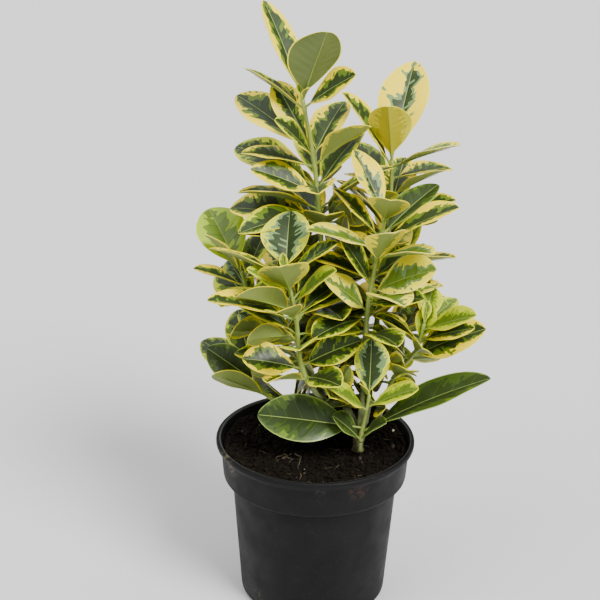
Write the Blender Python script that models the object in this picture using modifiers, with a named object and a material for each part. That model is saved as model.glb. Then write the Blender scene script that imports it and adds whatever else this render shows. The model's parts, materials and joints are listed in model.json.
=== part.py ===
"""Potted euonymus: a leafy young shrub with yellow-edged leaves in a round plastic nursery pot.

Frame: metres, +Z up, origin at the centre of the pot's flat underside. The view that shows the
plant best looks along +Y. Sizes below are in millimetres and are scaled once, where they are used.
"""

import math
import random
from dataclasses import dataclass

import bmesh
import bpy
import numpy as np
from mathutils.bvhtree import BVHTree

MM = 0.001
GAP = 0.3

# Pot
POT_HEIGHT = 103.0
RIM_RADIUS = 60.0
LIP_WIDTH = 2.8
LIP_DEPTH = 5.0
LIP_ROUND = 1.2
LIP_INNER_ROUND = 0.6
EDGE_BREAK = 0.4
COLLAR_TOP_RADIUS = 56.8
COLLAR_FOOT_RADIUS = 55.4
COLLAR_FOOT_HEIGHT = 78.0
SHOULDER_RADIUS = 50.2
BASE_RADIUS = 44.1
BASE_ROUND = 2.5
WALL = 1.3
POT_STEPS = 40
DRAIN_COUNT = 6
DRAIN_RADIUS = 3.2
DRAIN_CIRCLE = 31.0
DRAIN_SIDES = 10

# Soil
SOIL_HEIGHT = 98.5
SOIL_DISH = 1.2

# Foot of the plant, where it leaves the soil
FOOT_X = 25.5
FOOT_Y = -10.0
FOOT_LEAN_X = 0.5
FOOT_LEAN_Y = -0.4
FOOT_FLARE_RADIUS = 4.9
FOOT_WAIST_RADIUS = 3.3
FOOT_TOP = 109.5
HEAD_RADIUS = 4.4
HEAD_START = 0.45

# Growth rule: a pair of leaves at each node, each pair turned a quarter from the pair below
QUARTER_TURN = 90.0
FIRST_INTERNODE = 5.5
INTERNODE_GROWTH = 1.4
LONGEST_INTERNODE = 12.5
PETIOLE_SHARE = 0.13
PETIOLE_RADIUS = 0.75
ROOT_DEPTH = 0.9
LEAF_THICKNESS_SHARE = 0.016
FOLD = 0.30
CLEARANCE = 0.45
TRIES = 14
TURN_STEP = 4.0
LIFT_STEP = 3.0
SHRINK_STEP = 0.012
OLD_AGE = 80.0
FIRST_NODE = 1.5
LOWEST_NODE = 2.5
YOUNG_SHARE = 0.55
BLADE_STATIONS = (0.0, 0.18, 0.5, 0.8, 1.0)


@dataclass
class Shoot:
    """One stem: its bare bough, then the leafy mass that carries on from the bough's tip."""

    name: str
    parent: str
    leave: tuple
    route: tuple
    radius: float
    tip_radius: float
    bare: float
    leaf: float
    phase: float
    seed: int
    width: float = 0.52
    top_rise: float = 62.0
    low_rise: float = 18.0
    droop: float = 30.0
    rule_from: float = 0.0
    portraits: tuple = ()


# Leaves that show best from the front, set by hand for each shoot. Each is its distance below the
# shoot's tip, azimuth, rise and length, then its width as a share of the length and its roll.
SHOOTS = (
    Shoot("left_leader", "foot", (128, 52),
          ((11, 12, 135), (4, 16, 186), (0, 21, 240), (-4, 22, 272), (-11, 20, 309)),
          2.1, 1.0, 0.22, 50, 100, 11, rule_from=50, portraits=(
              (2, 120, 45, 68, 0.28, 25),
              (1, -48, 66, 48, 0.66, -40),
              (6, -40, 36, 46, 0.45, 35),
              (7, 150, 24, 44, 0.36, 30),
              (34, 142, 22, 62, 0.42, -10),
              (32, 140, 50, 46, 0.40, -25),
              (37, -155, 46, 36, 0.50, -40),
              (37, 60, 34, 44, 0.55, 0),
              (42, -20, 40, 44, 0.58, -30),
              (43, 172, 8, 44, 0.48, 0),
              (56, 147, 14, 60, 0.46, -15),
              (57, 48, 34, 48, 0.50, 0),
              (60, -172, 30, 46, 0.45, -35),
              (72, -158, -6, 50, 0.50, -20),
              (78, 165, 4, 56, 0.60, -20),
          )),
    Shoot("right_leader", "foot", (55, 50),
          ((34, 18, 146), (38, 26, 195), (42, 33, 235), (42, 36, 268)),
          2.0, 1.0, 0.25, 48, 75, 12, rule_from=16, portraits=(
              (1, 72, 47, 66, 0.46, 0),
              (2, -105, 68, 42, 0.60, 0),
              (5, 178, 56, 54, 0.42, -20),
              (5, -28, 26, 48, 0.40, 0),
              (12, 32, -2, 44, 0.52, 0),
              (13, 130, 18, 42, 0.45, 0),
          )),
    Shoot("front_right", "foot", (-80, 70),
          ((28, -3, 150), (29, -6, 190), (33, -9, 222), (37, -12, 250)),
          1.9, 0.9, 0.30, 46, 110, 13, rule_from=28, portraits=(
              (1, 128, 48, 44, 0.44, 0),
              (4, -86, 42, 34, 0.70, 0),
              (13, 38, 28, 48, 0.46, -15),
              (15, 135, 28, 44, 0.38, 10),
              (18, -20, 32, 54, 0.44, 10),
              (22, -165, 20, 46, 0.46, 0),
              (27, -40, 18, 42, 0.52, 0),
              (46, -160, 58, 40, 0.42, -35),
              (51, -28, 30, 48, 0.56, 35),
              (58, -24, 16, 36, 0.50, 20),
              (63, -158, 42, 38, 0.50, -30),
          )),
    Shoot("front_left", "foot", (205, 40),
          ((9, -11, 125), (-8, -12, 152), (-13, -16, 190), (-19, -20, 218)),
          1.9, 0.9, 0.34, 48, 80, 14, rule_from=20, portraits=(
              (1, 92, 46, 40, 0.78, 0),
              (4, 158, 12, 50, 0.34, 35),
              (3, -8, 44, 38, 0.45, 0),
              (14, -105, 46, 36, 0.82, 0),
              (19, 38, 25, 44, 0.48, 0),
              (27, -145, 26, 44, 0.58, 38),
              (31, 8, 50, 44, 0.45, 0),
              (33, -172, 16, 54, 0.50, 10),
              (64, -5, 28, 40, 0.52, 35),
              (66, -170, 14, 37, 0.60, -35),
              (72, -60, 22, 40, 0.50, 0),
              (74, -122, 22, 40, 0.50, 0),
          )),
    Shoot("left_side", "left_leader", (170, 0.10), ((-10, 18, 145), (-36, 24, 172), (-46, 23, 201)),
          1.6, 0.9, 0.35, 42, 140, 15, rule_from=12, portraits=(
              (2, 128, 42, 46, 0.66, 0),
              (2, -160, 50, 36, 0.50, 0),
              (8, 66, 38, 36, 0.55, 0),
              (11, -172, 22, 34, 0.48, 0),
          )),
    Shoot("low_left", "foot", (165, 12), ((-4, 13, 114), (-30, 16, 122), (-40, 15, 143)),
          1.5, 0.9, 0.25, 44, 60, 16, rule_from=36, portraits=(
              (3, 104, 28, 46, 0.46, 0),
              (16, 137, 16, 52, 0.45, 0),
              (14, 172, 34, 38, 0.55, -45),
              (26, -160, 34, 46, 0.36, -28),
              (40, 62, 34, 42, 0.50, 0),
              (46, -20, 44, 34, 0.50, 0),
              (52, 130, 34, 40, 0.50, 0),
          )),
    Shoot("right_side", "foot", (5, 30), ((47, 5, 142), (59, 4, 160), (63, 4, 177)),
          1.6, 0.9, 0.3, 42, 20, 17, rule_from=10, portraits=(
              (2, 75, 30, 30, 0.50, 0),
              (3, 50, 14, 34, 0.45, 0),
              (5, -33, 28, 40, 0.46, 35),
              (12, -27, 25, 38, 0.46, 30),
              (14, -152, 38, 38, 0.50, 0),
              (24, -12, 28, 50, 0.54, 35),
              (26, -152, 44, 36, 0.50, 0),
          )),
    Shoot("front_low", "foot_side", (-85, 103.5), ((27, -18, 114), (29, -18, 125), (31, -19, 141)),
          1.2, 0.8, 0.25, 36, 180, 18, rule_from=40, portraits=(
              (3, 85, 72, 36, 0.60, 0),
              (9, -20, 30, 36, 0.50, 15),
              (11, -150, 38, 32, 0.60, -15),
              (26, -10, 30, 86, 0.32, 20),
              (23, 180, 7, 63, 0.46, -50),
              (31, 198, 46, 26, 0.62, -42),
              (30, -40, 42, 25, 0.62, 34),
          )),
    Shoot("back_left", "left_leader", (80, 0.14), ((6, 30, 150), (-6, 40, 190), (-10, 44, 222)),
          1.6, 0.9, 0.2, 46, 30, 19),
    Shoot("back_right", "right_leader", (60, 0.16), ((46, 34, 150), (51, 42, 178), (52, 47, 200)),
          1.6, 0.9, 0.2, 46, 50, 20),
)


def clear_scene():
    for thing in list(bpy.data.objects):
        bpy.data.objects.remove(thing, do_unlink=True)


def new_collection(name):
    made = bpy.data.collections.new(name)
    bpy.context.scene.collection.children.link(made)
    return made


def plain_material(name, colour, roughness, metallic=0.0):
    made = bpy.data.materials.new(name)
    made.use_nodes = True
    shader = made.node_tree.nodes["Principled BSDF"]
    shader.inputs["Base Color"].default_value = (*colour, 1.0)
    shader.inputs["Roughness"].default_value = roughness
    shader.inputs["Metallic"].default_value = metallic
    return made


def add_object(name, mesh, collection):
    made = bpy.data.objects.new(name, mesh)
    collection.objects.link(made)
    return made


def turned(name, profile, steps, collection):
    """A profile of (radius, height) in millimetres, turned round the Z axis by a Screw modifier."""
    mesh = bpy.data.meshes.new(name)
    points = [(radius * MM, 0.0, height * MM) for radius, height in profile]
    mesh.from_pydata(points, [(i, i + 1) for i in range(len(points) - 1)], [])
    made = add_object(name, mesh, collection)
    screw = made.modifiers.new("Turn", "SCREW")
    screw.steps = steps
    screw.render_steps = steps
    screw.use_merge_vertices = True
    screw.merge_threshold = 0.00001
    screw.use_smooth_shade = True
    return made


def arc(centre, radius, start, end, count):
    """Points on an arc in the profile plane, angles in degrees."""
    angles = np.radians(np.linspace(start, end, count))
    return [(centre[0] + radius * math.cos(a), centre[1] + radius * math.sin(a)) for a in angles]


def inner_radius(height):
    """Radius of the pot's inside wall at a height: the body's cone below, the collar above."""
    if height < COLLAR_FOOT_HEIGHT:
        share = (height - WALL) / (COLLAR_FOOT_HEIGHT - WALL)
        return BASE_RADIUS + (SHOULDER_RADIUS - BASE_RADIUS) * share - WALL
    share = (height - COLLAR_FOOT_HEIGHT) / (POT_HEIGHT - LIP_DEPTH - COLLAR_FOOT_HEIGHT)
    return COLLAR_FOOT_RADIUS + (COLLAR_TOP_RADIUS - COLLAR_FOOT_RADIUS) * share - WALL


def make_pot(collection, cutters):
    """The shell in one profile: up the inside, over the lip, down the outside and across the base."""
    lip_low = POT_HEIGHT - LIP_DEPTH
    ledge = COLLAR_FOOT_HEIGHT + WALL
    inside = [
        (0.0, WALL),
        (inner_radius(WALL), WALL),
        (SHOULDER_RADIUS - WALL, ledge - EDGE_BREAK),
        (inner_radius(ledge), ledge),
        (inner_radius(lip_low), lip_low),
        (RIM_RADIUS - LIP_WIDTH, POT_HEIGHT - LIP_INNER_ROUND),
        (RIM_RADIUS - LIP_WIDTH + LIP_INNER_ROUND, POT_HEIGHT),
    ]
    lip = arc((RIM_RADIUS - LIP_ROUND, POT_HEIGHT - LIP_ROUND), LIP_ROUND, 90, 0, 3)
    outside = [
        (RIM_RADIUS, lip_low + EDGE_BREAK),
        (RIM_RADIUS - EDGE_BREAK, lip_low),
        (COLLAR_TOP_RADIUS, lip_low),
        (COLLAR_FOOT_RADIUS, COLLAR_FOOT_HEIGHT + EDGE_BREAK),
        (COLLAR_FOOT_RADIUS - EDGE_BREAK, COLLAR_FOOT_HEIGHT),
        (SHOULDER_RADIUS, COLLAR_FOOT_HEIGHT),
    ]
    corner = arc((BASE_RADIUS - BASE_ROUND, BASE_ROUND), BASE_ROUND, 0, -90, 3)
    pot = turned("pot", inside + lip + outside + corner + [(0.0, 0.0)], POT_STEPS, collection)
    for index in range(DRAIN_COUNT):
        place = direction(360.0 * index / DRAIN_COUNT, 0.0) * DRAIN_CIRCLE * MM
        bpy.ops.mesh.primitive_cylinder_add(
            vertices=DRAIN_SIDES, radius=DRAIN_RADIUS * MM, depth=6 * WALL * MM, location=place
        )
        cutter = bpy.context.object
        cutter.name = f"drain_cutter_{index}"
        cutter.hide_render = True
        cutter.display_type = "WIRE"
        for holder in list(cutter.users_collection):
            holder.objects.unlink(cutter)
        cutters.objects.link(cutter)
    cut = pot.modifiers.new("Drain holes", "BOOLEAN")
    cut.operation = "DIFFERENCE"
    cut.operand_type = "COLLECTION"
    cut.collection = cutters
    return pot


def make_soil(collection):
    """The block of peat that fills the pot to just under its lip, its top dished slightly."""
    top_radius = inner_radius(SOIL_HEIGHT) - GAP
    ledge = COLLAR_FOOT_HEIGHT + WALL + GAP
    floor = WALL + GAP
    profile = [
        (0.0, SOIL_HEIGHT),
        (0.7 * top_radius, SOIL_HEIGHT),
        (0.9 * top_radius, SOIL_HEIGHT - 0.4 * SOIL_DISH),
        (top_radius, SOIL_HEIGHT - SOIL_DISH),
        (inner_radius(ledge) - GAP, ledge),
        (SHOULDER_RADIUS - WALL - GAP, ledge - EDGE_BREAK),
        (inner_radius(floor) - GAP, floor),
        (0.0, floor),
    ]
    return turned("soil", profile, POT_STEPS, collection)


def blend(start, end, t, low, high):
    """Straight blend from start at t = low to end at t = high."""
    return ((high - t) * start + (t - low) * end) / (high - low)


def smooth_route(points, spacing):
    """A curve through the points by the centripetal rule, read at even steps of about the spacing."""
    points = np.array(points, float)
    ends = np.vstack([2 * points[0] - points[1], points, 2 * points[-1] - points[-2]])
    fine = []
    for i in range(1, len(ends) - 2):
        four = ends[i - 1 : i + 3]
        k = np.concatenate([[0.0], np.cumsum(np.linalg.norm(np.diff(four, axis=0), axis=1) ** 0.5)])
        t = np.linspace(k[1], k[2], 24, endpoint=False)[:, None]
        singles = [blend(four[n], four[n + 1], t, k[n], k[n + 1]) for n in range(3)]
        doubles = [blend(singles[n], singles[n + 1], t, k[n], k[n + 2]) for n in range(2)]
        fine.append(blend(doubles[0], doubles[1], t, k[1], k[2]))
    fine = np.vstack([*fine, points[-1:]])
    run = np.concatenate([[0.0], np.cumsum(np.linalg.norm(np.diff(fine, axis=0), axis=1))])
    count = max(2, int(round(run[-1] / spacing)) + 1)
    even = np.linspace(0.0, run[-1], count)
    return np.stack([np.interp(even, run, fine[:, axis]) for axis in range(3)], 1)


def direction(azimuth, rise):
    """Unit vector from an azimuth (0 to the right, 90 away from the front) and a rise, in degrees."""
    azimuth, rise = math.radians(azimuth), math.radians(rise)
    level = math.cos(rise)
    return np.array([level * math.cos(azimuth), level * math.sin(azimuth), math.sin(rise)])


class Stem:
    """A tapering stem along a route, with its place and direction at any length along it."""

    def __init__(self, route, radius, tip_radius):
        self.route = route
        steps = np.linalg.norm(np.diff(route, axis=0), axis=1)
        self.run = np.concatenate([[0.0], np.cumsum(steps)])
        self.length = self.run[-1]
        self.radius, self.tip_radius = radius, tip_radius

    def at(self, along):
        return np.array([np.interp(along, self.run, self.route[:, axis]) for axis in range(3)])

    def heading(self, along):
        step = self.at(min(along + 1.0, self.length)) - self.at(max(along - 1.0, 0.0))
        return step / np.linalg.norm(step)

    def radius_at(self, along):
        return self.radius + (self.tip_radius - self.radius) * along / self.length

    def piece(self, start, end, spacing):
        """The points and radii of the stretch between two lengths."""
        along = np.linspace(start, end, max(2, int(round((end - start) / spacing)) + 1))
        return np.array([self.at(a) for a in along]), np.array([self.radius_at(a) for a in along])


def evaluated_mesh(thing):
    bpy.context.view_layer.update()
    graph = bpy.context.evaluated_depsgraph_get()
    return bpy.data.meshes.new_from_object(thing.evaluated_get(graph))


def limb_mesh(name, points, radii, resolution=1):
    """A tapering limb: a curve with a bevel and a radius at each point, made a mesh with welded caps."""
    curve = bpy.data.curves.new(name, "CURVE")
    curve.dimensions = "3D"
    curve.bevel_depth = MM
    curve.bevel_resolution = resolution
    curve.use_fill_caps = True
    spline = curve.splines.new("POLY")
    spline.points.add(len(points) - 1)
    for point, place, radius in zip(spline.points, points, radii):
        point.co = (*(place * MM), 1.0)
        point.radius = radius
    guide = bpy.data.objects.new(name + "_guide", curve)
    bpy.context.scene.collection.objects.link(guide)
    mesh = evaluated_mesh(guide)
    bpy.data.objects.remove(guide, do_unlink=True)
    bpy.data.curves.remove(curve)
    shape = bmesh.new()
    shape.from_mesh(mesh)
    bmesh.ops.remove_doubles(shape, verts=shape.verts, dist=0.00001)
    bmesh.ops.recalc_face_normals(shape, faces=shape.faces)
    shape.to_mesh(mesh)
    shape.free()
    mesh.name = name
    return mesh


def blade_half_width(share):
    """Half width of an obovate blade as a share of its greatest half width, by a skewed sine."""
    return np.sin(np.pi * np.clip(share, 0.0, 1.0) ** 1.15) ** 0.75


def leaf_sections(length, width, droop, extra=0.0):
    """Rings of four points (left, top, right, bottom) along a leaf that lies along +X with its face up.

    The midrib is an arc that turns down by the droop angle from root to tip, and its chord lies on
    +X. Each ring is a shallow chevron: both edges are raised by the fold. The extra thickens the
    leaf all round, for tests of its clearance.
    """
    petiole = length * PETIOLE_SHARE
    blade = length - petiole
    along = [-ROOT_DEPTH, petiole] + [petiole + s * blade for s in BLADE_STATIONS[1:]]
    halves = [PETIOLE_RADIUS, PETIOLE_RADIUS] + [
        max(PETIOLE_RADIUS * (1 - s), 0.5 * width * float(blade_half_width(s)))
        for s in BLADE_STATIONS[1:]
    ]
    thick = 0.5 * length * LEAF_THICKNESS_SHARE
    thicks = [0.8 * PETIOLE_RADIUS, 0.8 * PETIOLE_RADIUS] + [
        thick * (1.15 - 0.7 * s) for s in BLADE_STATIONS[1:]
    ]
    rings = []
    turn = math.radians(droop)
    for x, half, deep in zip(along, halves, thicks):
        bend = turn * x / length
        chord = length * math.sin(0.5 * bend) / (0.5 * turn)
        slope = 0.5 * turn - 0.5 * bend
        centre = (chord * math.cos(slope), chord * math.sin(slope))
        slope -= 0.5 * bend
        normal = (-math.sin(slope), math.cos(slope))
        raised = FOLD * half
        half, deep = half + extra, deep + extra
        rings.append([
            (centre[0] + normal[0] * raised, half, centre[1] + normal[1] * raised),
            (centre[0] + normal[0] * deep, 0.0, centre[1] + normal[1] * deep),
            (centre[0] + normal[0] * raised, -half, centre[1] + normal[1] * raised),
            (centre[0] - normal[0] * deep, 0.0, centre[1] - normal[1] * deep),
        ])
    return np.array(rings)


def leaf_shape(length, width, droop, matrix, extra=0.0):
    """Points in millimetres and faces of one closed leaf, placed by a 4x4 matrix."""
    rings = leaf_sections(length, width, droop, extra)
    count = len(rings)
    body = rings[:-1].reshape(-1, 3)
    tip = rings[-1].mean(axis=0)[None]
    points = np.vstack([body, tip])
    points = points @ matrix[:3, :3].T + matrix[:3, 3]
    faces = [(3, 2, 1, 0)]
    for ring in range(count - 2):
        for side in range(4):
            a = ring * 4 + side
            b = ring * 4 + (side + 1) % 4
            faces.append((a, b, b + 4, a + 4))
    last = (count - 2) * 4
    for side in range(4):
        faces.append((last + side, last + (side + 1) % 4, len(body)))
    return points, faces


def leaf_matrix(place, heading, azimuth, rise, roll):
    """Places a leaf at a node: its X runs out at the azimuth and rise, its face turned up the stem."""
    out = direction(azimuth, rise)
    face = heading - out * np.dot(heading, out)
    if np.linalg.norm(face) < 0.05:
        face = -direction(azimuth, 0.0) + out * np.dot(direction(azimuth, 0.0), out)
    face = face / np.linalg.norm(face)
    side = np.cross(face, out)
    angle = math.radians(roll)
    matrix = np.eye(4)
    matrix[:3, 0] = out
    matrix[:3, 1] = side * math.cos(angle) + face * math.sin(angle)
    matrix[:3, 2] = face * math.cos(angle) - side * math.sin(angle)
    matrix[:3, 3] = place
    return matrix


def tree_of(points, faces):
    return BVHTree.FromPolygons([tuple(p) for p in points], faces)


def tree_of_mesh(mesh):
    return tree_of([v.co / MM for v in mesh.vertices], [tuple(p.vertices) for p in mesh.polygons])


class Plant:
    """Every limb and leaf that stands so far, so that the next one can keep clear of them."""

    def __init__(self):
        self.stems = {}
        self.fixed = []
        self.leaves = []

    def touches(self, mass, whole, blade):
        """Whether a leaf meets what stands: all of it against other masses, its blade in its own."""
        if any(whole.overlap(other) for owner, other in self.fixed if owner != mass):
            return True
        for owner, other_whole, other_blade in self.leaves:
            if blade.overlap(other_blade) if owner == mass else whole.overlap(other_whole):
                return True
        return False


def place_leaf(shoot, stem, leaf, droop, rule, plant):
    """One leaf at a node, or None. A leaf that would touch a limb or another leaf is turned, lifted
    and shortened a little more at each try, and is skipped when no try is clear."""
    below, azimuth, rise, length, share, roll = leaf
    place = stem.at(stem.length - below)
    heading = stem.heading(stem.length - below)
    for attempt in range(TRIES):
        turn = rule.uniform(-TURN_STEP, TURN_STEP) * attempt
        lift = rule.uniform(-LIFT_STEP, LIFT_STEP) * attempt
        shrink = 1.0 - SHRINK_STEP * attempt
        matrix = leaf_matrix(place, heading, azimuth + turn, rise + lift, roll)
        size = (length * shrink, length * share * shrink, droop, matrix)
        points, faces = leaf_shape(*size, CLEARANCE)
        blade = [tuple(i - 4 for i in face) for face in faces[5:]]
        if not plant.touches(shoot.name, tree_of(points, faces), tree_of(points[4:], blade)):
            points, faces = leaf_shape(*size)
            plant.leaves.append((shoot.name, tree_of(points, faces), tree_of(points[4:], blade)))
            return points, faces
    return None


def node_step(whorl, rule):
    """The distance from one pair of leaves down to the next."""
    return min(FIRST_INTERNODE + INTERNODE_GROWTH * whorl, LONGEST_INTERNODE) * rule.uniform(0.9, 1.1)


def grow_portraits(shoot, stem, plant):
    """The leaves set by hand."""
    rule = random.Random(shoot.seed)
    grown = []
    for leaf in shoot.portraits:
        age = min(leaf[0] / OLD_AGE, 1.0)
        droop = shoot.droop * (0.4 + 0.5 * age)
        grown.append(place_leaf(shoot, stem, leaf, droop, rule, plant))
    return [leaf for leaf in grown if leaf]


def grow_leaves(shoot, stem, start, plant):
    """The other leaves, from the tip down: opposite pairs, each turned a quarter from the last,
    longer and flatter with age."""
    rule = random.Random(shoot.seed + 100)
    grown = []
    below = FIRST_NODE
    whorl = 0
    while stem.length - below > start + LOWEST_NODE:
        if below < shoot.rule_from:
            below, whorl = below + node_step(whorl, rule), whorl + 1
            continue
        age = min(below / OLD_AGE, 1.0)
        rise_here = shoot.low_rise + (shoot.top_rise - shoot.low_rise) * (1.0 - age) ** 2
        size = shoot.leaf * (YOUNG_SHARE + (1.0 - YOUNG_SHARE) * min(2.5 * age, 1.0))
        for side in range(2):
            azimuth = shoot.phase + QUARTER_TURN * whorl + 180.0 * side + rule.uniform(-14, 14)
            rise = rise_here + rule.uniform(-9, 9)
            length = size * rule.uniform(0.82, 1.08)
            share = shoot.width * rule.uniform(0.9, 1.1)
            roll = rule.uniform(-14, 14)
            droop = shoot.droop * rule.uniform(0.6, 1.3) * (0.5 + 0.5 * age)
            leaf = (below, azimuth, rise, length, share, roll)
            grown.append(place_leaf(shoot, stem, leaf, droop, rule, plant))
        below, whorl = below + node_step(whorl, rule), whorl + 1
    return [leaf for leaf in grown if leaf]


def mesh_of(name, points, faces):
    mesh = bpy.data.meshes.new(name)
    mesh.from_pydata([tuple(p * MM) for p in points], [], faces)
    shape = bmesh.new()
    shape.from_mesh(mesh)
    bmesh.ops.recalc_face_normals(shape, faces=shape.faces)
    shape.to_mesh(mesh)
    shape.free()
    return mesh


def fuse(name, trunk_mesh, leaves, collection):
    """One Boolean union of a mass's stem with its leaves, applied, with the joined pieces removed."""
    joined = add_object(name, trunk_mesh, collection)
    pieces = new_collection(name + "_pieces")
    for index, (points, faces) in enumerate(leaves):
        add_object(f"{name}_leaf_{index}", mesh_of(f"{name}_leaf_{index}", points, faces), pieces)
    union = joined.modifiers.new("Join", "BOOLEAN")
    union.operation = "UNION"
    union.operand_type = "COLLECTION"
    union.collection = pieces
    union.solver = "MANIFOLD"
    result = evaluated_mesh(joined)
    joined.modifiers.clear()
    joined.data = result
    for piece in list(pieces.objects):
        bpy.data.objects.remove(piece, do_unlink=True)
    bpy.data.collections.remove(pieces)
    return joined


def foot_point(height):
    share = (height - SOIL_HEIGHT) / (FOOT_TOP - SOIL_HEIGHT)
    return np.array([FOOT_X + FOOT_LEAN_X * share, FOOT_Y + FOOT_LEAN_Y * share, height])


def foot_radius(share):
    """Flare at the soil, a waist, then the swollen head that the stems leave."""
    flare = (FOOT_FLARE_RADIUS - FOOT_WAIST_RADIUS) * math.exp(-share * 7.0)
    swell = math.sin(0.5 * math.pi * max(share - HEAD_START, 0.0) / (1.0 - HEAD_START)) ** 2
    return FOOT_WAIST_RADIUS + flare + (HEAD_RADIUS - FOOT_WAIST_RADIUS) * swell


def make_foot(collection, plant):
    heights = np.linspace(SOIL_HEIGHT + GAP, FOOT_TOP, 8)
    points = [foot_point(h) for h in heights]
    radii = [foot_radius((h - SOIL_HEIGHT) / (FOOT_TOP - SOIL_HEIGHT)) for h in heights]
    for angle in (30, 60, 80):
        points.append(foot_point(FOOT_TOP) + np.array([0, 0, HEAD_RADIUS]) * math.sin(math.radians(angle)))
        radii.append(HEAD_RADIUS * math.cos(math.radians(angle)))
    mesh = limb_mesh("stem_foot", np.array(points), radii, resolution=2)
    foot = add_object("stem_foot", mesh, collection)
    plant.fixed.append(("stem_foot", tree_of_mesh(mesh)))
    return foot


def stem_route(shoot, plant):
    """The shoot's stem from just clear of what carries it, through its route."""
    if shoot.parent == "foot":
        out = direction(*shoot.leave)
        start = foot_point(FOOT_TOP) + out * (HEAD_RADIUS + GAP)
    elif shoot.parent == "foot_side":
        azimuth, height = shoot.leave
        out = direction(azimuth, 0.0)
        share = (height - SOIL_HEIGHT) / (FOOT_TOP - SOIL_HEIGHT)
        start = foot_point(height) + out * (foot_radius(share) + 2 * GAP)
    else:
        azimuth, share = shoot.leave
        parent = plant.stems[shoot.parent]
        along = share * parent.length
        heading = parent.heading(along)
        out = direction(azimuth, 0.0)
        out = out - heading * np.dot(out, heading)
        out = out / np.linalg.norm(out)
        start = parent.at(along) + out * (parent.radius_at(along) + 1.5 * GAP)
    lead = start + out * 5.0
    return smooth_route([start, lead, *shoot.route], 2.0)


def make_limbs(shoot, collection, plant):
    """The bare bough as an object, and the mesh of the stem that carries on from its tip."""
    stem = Stem(stem_route(shoot, plant), shoot.radius, shoot.tip_radius)
    plant.stems[shoot.name] = stem
    start = shoot.bare * stem.length
    name = f"bough_{shoot.name}"
    bough = add_object(name, limb_mesh(name, *stem.piece(0.0, start, 6.0)), collection)
    plant.fixed.append((name, tree_of_mesh(bough.data)))
    trunk = limb_mesh(f"leaves_{shoot.name}", *stem.piece(start + GAP, stem.length, 8.0))
    plant.fixed.append((shoot.name, tree_of_mesh(trunk)))
    return bough, stem, start, trunk


def make_shoots(collection, plant):
    """All limbs first, then the leaves set by hand, then the rest of the leaves and the joining."""
    limbs = {shoot.name: make_limbs(shoot, collection, plant) for shoot in SHOOTS}
    portraits = {shoot.name: grow_portraits(shoot, limbs[shoot.name][1], plant) for shoot in SHOOTS}
    masses = []
    for shoot in SHOOTS:
        _, stem, start, trunk = limbs[shoot.name]
        leaves = portraits[shoot.name] + grow_leaves(shoot, stem, start, plant)
        masses.append(fuse(f"leaves_{shoot.name}", trunk, leaves, collection))
    return [entry[0] for entry in limbs.values()], masses


def main():
    clear_scene()
    collection = new_collection("potted euonymus")
    cutters = new_collection("cutters")
    pot = make_pot(collection, cutters)
    soil = make_soil(collection)
    plant = Plant()
    foot = make_foot(collection, plant)
    boughs, masses = make_shoots(collection, plant)
    pot.data.materials.append(plain_material("pot plastic", (0.022, 0.022, 0.024), 0.42))
    soil.data.materials.append(plain_material("peat", (0.012, 0.010, 0.008), 0.95))
    foot.data.materials.append(plain_material("foot bark", (0.16, 0.14, 0.07), 0.8))
    for bough in boughs:
        bough.data.materials.append(plain_material(bough.name + " bark", (0.18, 0.26, 0.06), 0.6))
    for mass in masses:
        mass.data.materials.clear()
        mass.data.materials.append(plain_material(mass.name + " leaf", (0.30, 0.38, 0.08), 0.45))
    cutters.hide_render = True


if __name__ == "__main__":
    main()
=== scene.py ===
"""Potted euonymus, dressed: leaves with irregular yellow edges, bark, loose peat and a moulded pot.

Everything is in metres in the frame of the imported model. The growth rule is worked in millimetres,
as in the part's source, and scaled once, where a mesh is made.
"""

import json
import math
import random
from dataclasses import dataclass, field

import bmesh
import bpy
import numpy as np
from mathutils import Matrix, Vector
from mathutils.bvhtree import BVHTree

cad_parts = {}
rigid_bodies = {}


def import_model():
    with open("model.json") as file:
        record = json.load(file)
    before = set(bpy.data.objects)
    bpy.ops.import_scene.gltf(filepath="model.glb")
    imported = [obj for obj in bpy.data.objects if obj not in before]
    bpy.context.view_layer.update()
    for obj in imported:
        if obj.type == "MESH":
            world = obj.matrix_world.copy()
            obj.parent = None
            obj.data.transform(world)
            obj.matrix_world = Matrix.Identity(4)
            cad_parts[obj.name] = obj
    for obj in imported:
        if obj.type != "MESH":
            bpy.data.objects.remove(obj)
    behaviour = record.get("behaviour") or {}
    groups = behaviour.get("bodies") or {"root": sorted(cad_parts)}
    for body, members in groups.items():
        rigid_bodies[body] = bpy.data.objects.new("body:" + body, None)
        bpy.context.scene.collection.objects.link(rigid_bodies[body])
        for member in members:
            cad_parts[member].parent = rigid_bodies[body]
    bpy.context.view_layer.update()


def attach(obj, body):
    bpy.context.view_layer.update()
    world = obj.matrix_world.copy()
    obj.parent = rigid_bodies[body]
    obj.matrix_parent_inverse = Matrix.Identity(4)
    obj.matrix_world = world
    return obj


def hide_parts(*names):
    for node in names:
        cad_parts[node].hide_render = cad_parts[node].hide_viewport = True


bl_info = {
    "name": "Potted euonymus",
    "version": (1, 0, 0),
    "blender": (4, 5, 0),
    "location": "3D View > Sidebar > Euonymus",
    "description": "Leaves, stems, peat, pot and studio of a potted euonymus",
    "category": "Add Mesh",
}

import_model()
BODY = "root"
MM = 0.001
GAP = 0.3

# Pot and soil
POT_HEIGHT = 103.0
RIM_RADIUS = 60.0
LIP_WIDTH = 2.8
LIP_DEPTH = 5.0
COLLAR_TOP_RADIUS = 56.8
COLLAR_FOOT_RADIUS = 55.4
COLLAR_FOOT_HEIGHT = 78.0
SHOULDER_RADIUS = 50.2
BASE_RADIUS = 44.1
WALL = 1.3
DRAIN_COUNT = 6
DRAIN_RADIUS = 3.2
DRAIN_CIRCLE = 31.0
SOIL_HEIGHT = 98.5
SOIL_DISH = 1.2

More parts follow.
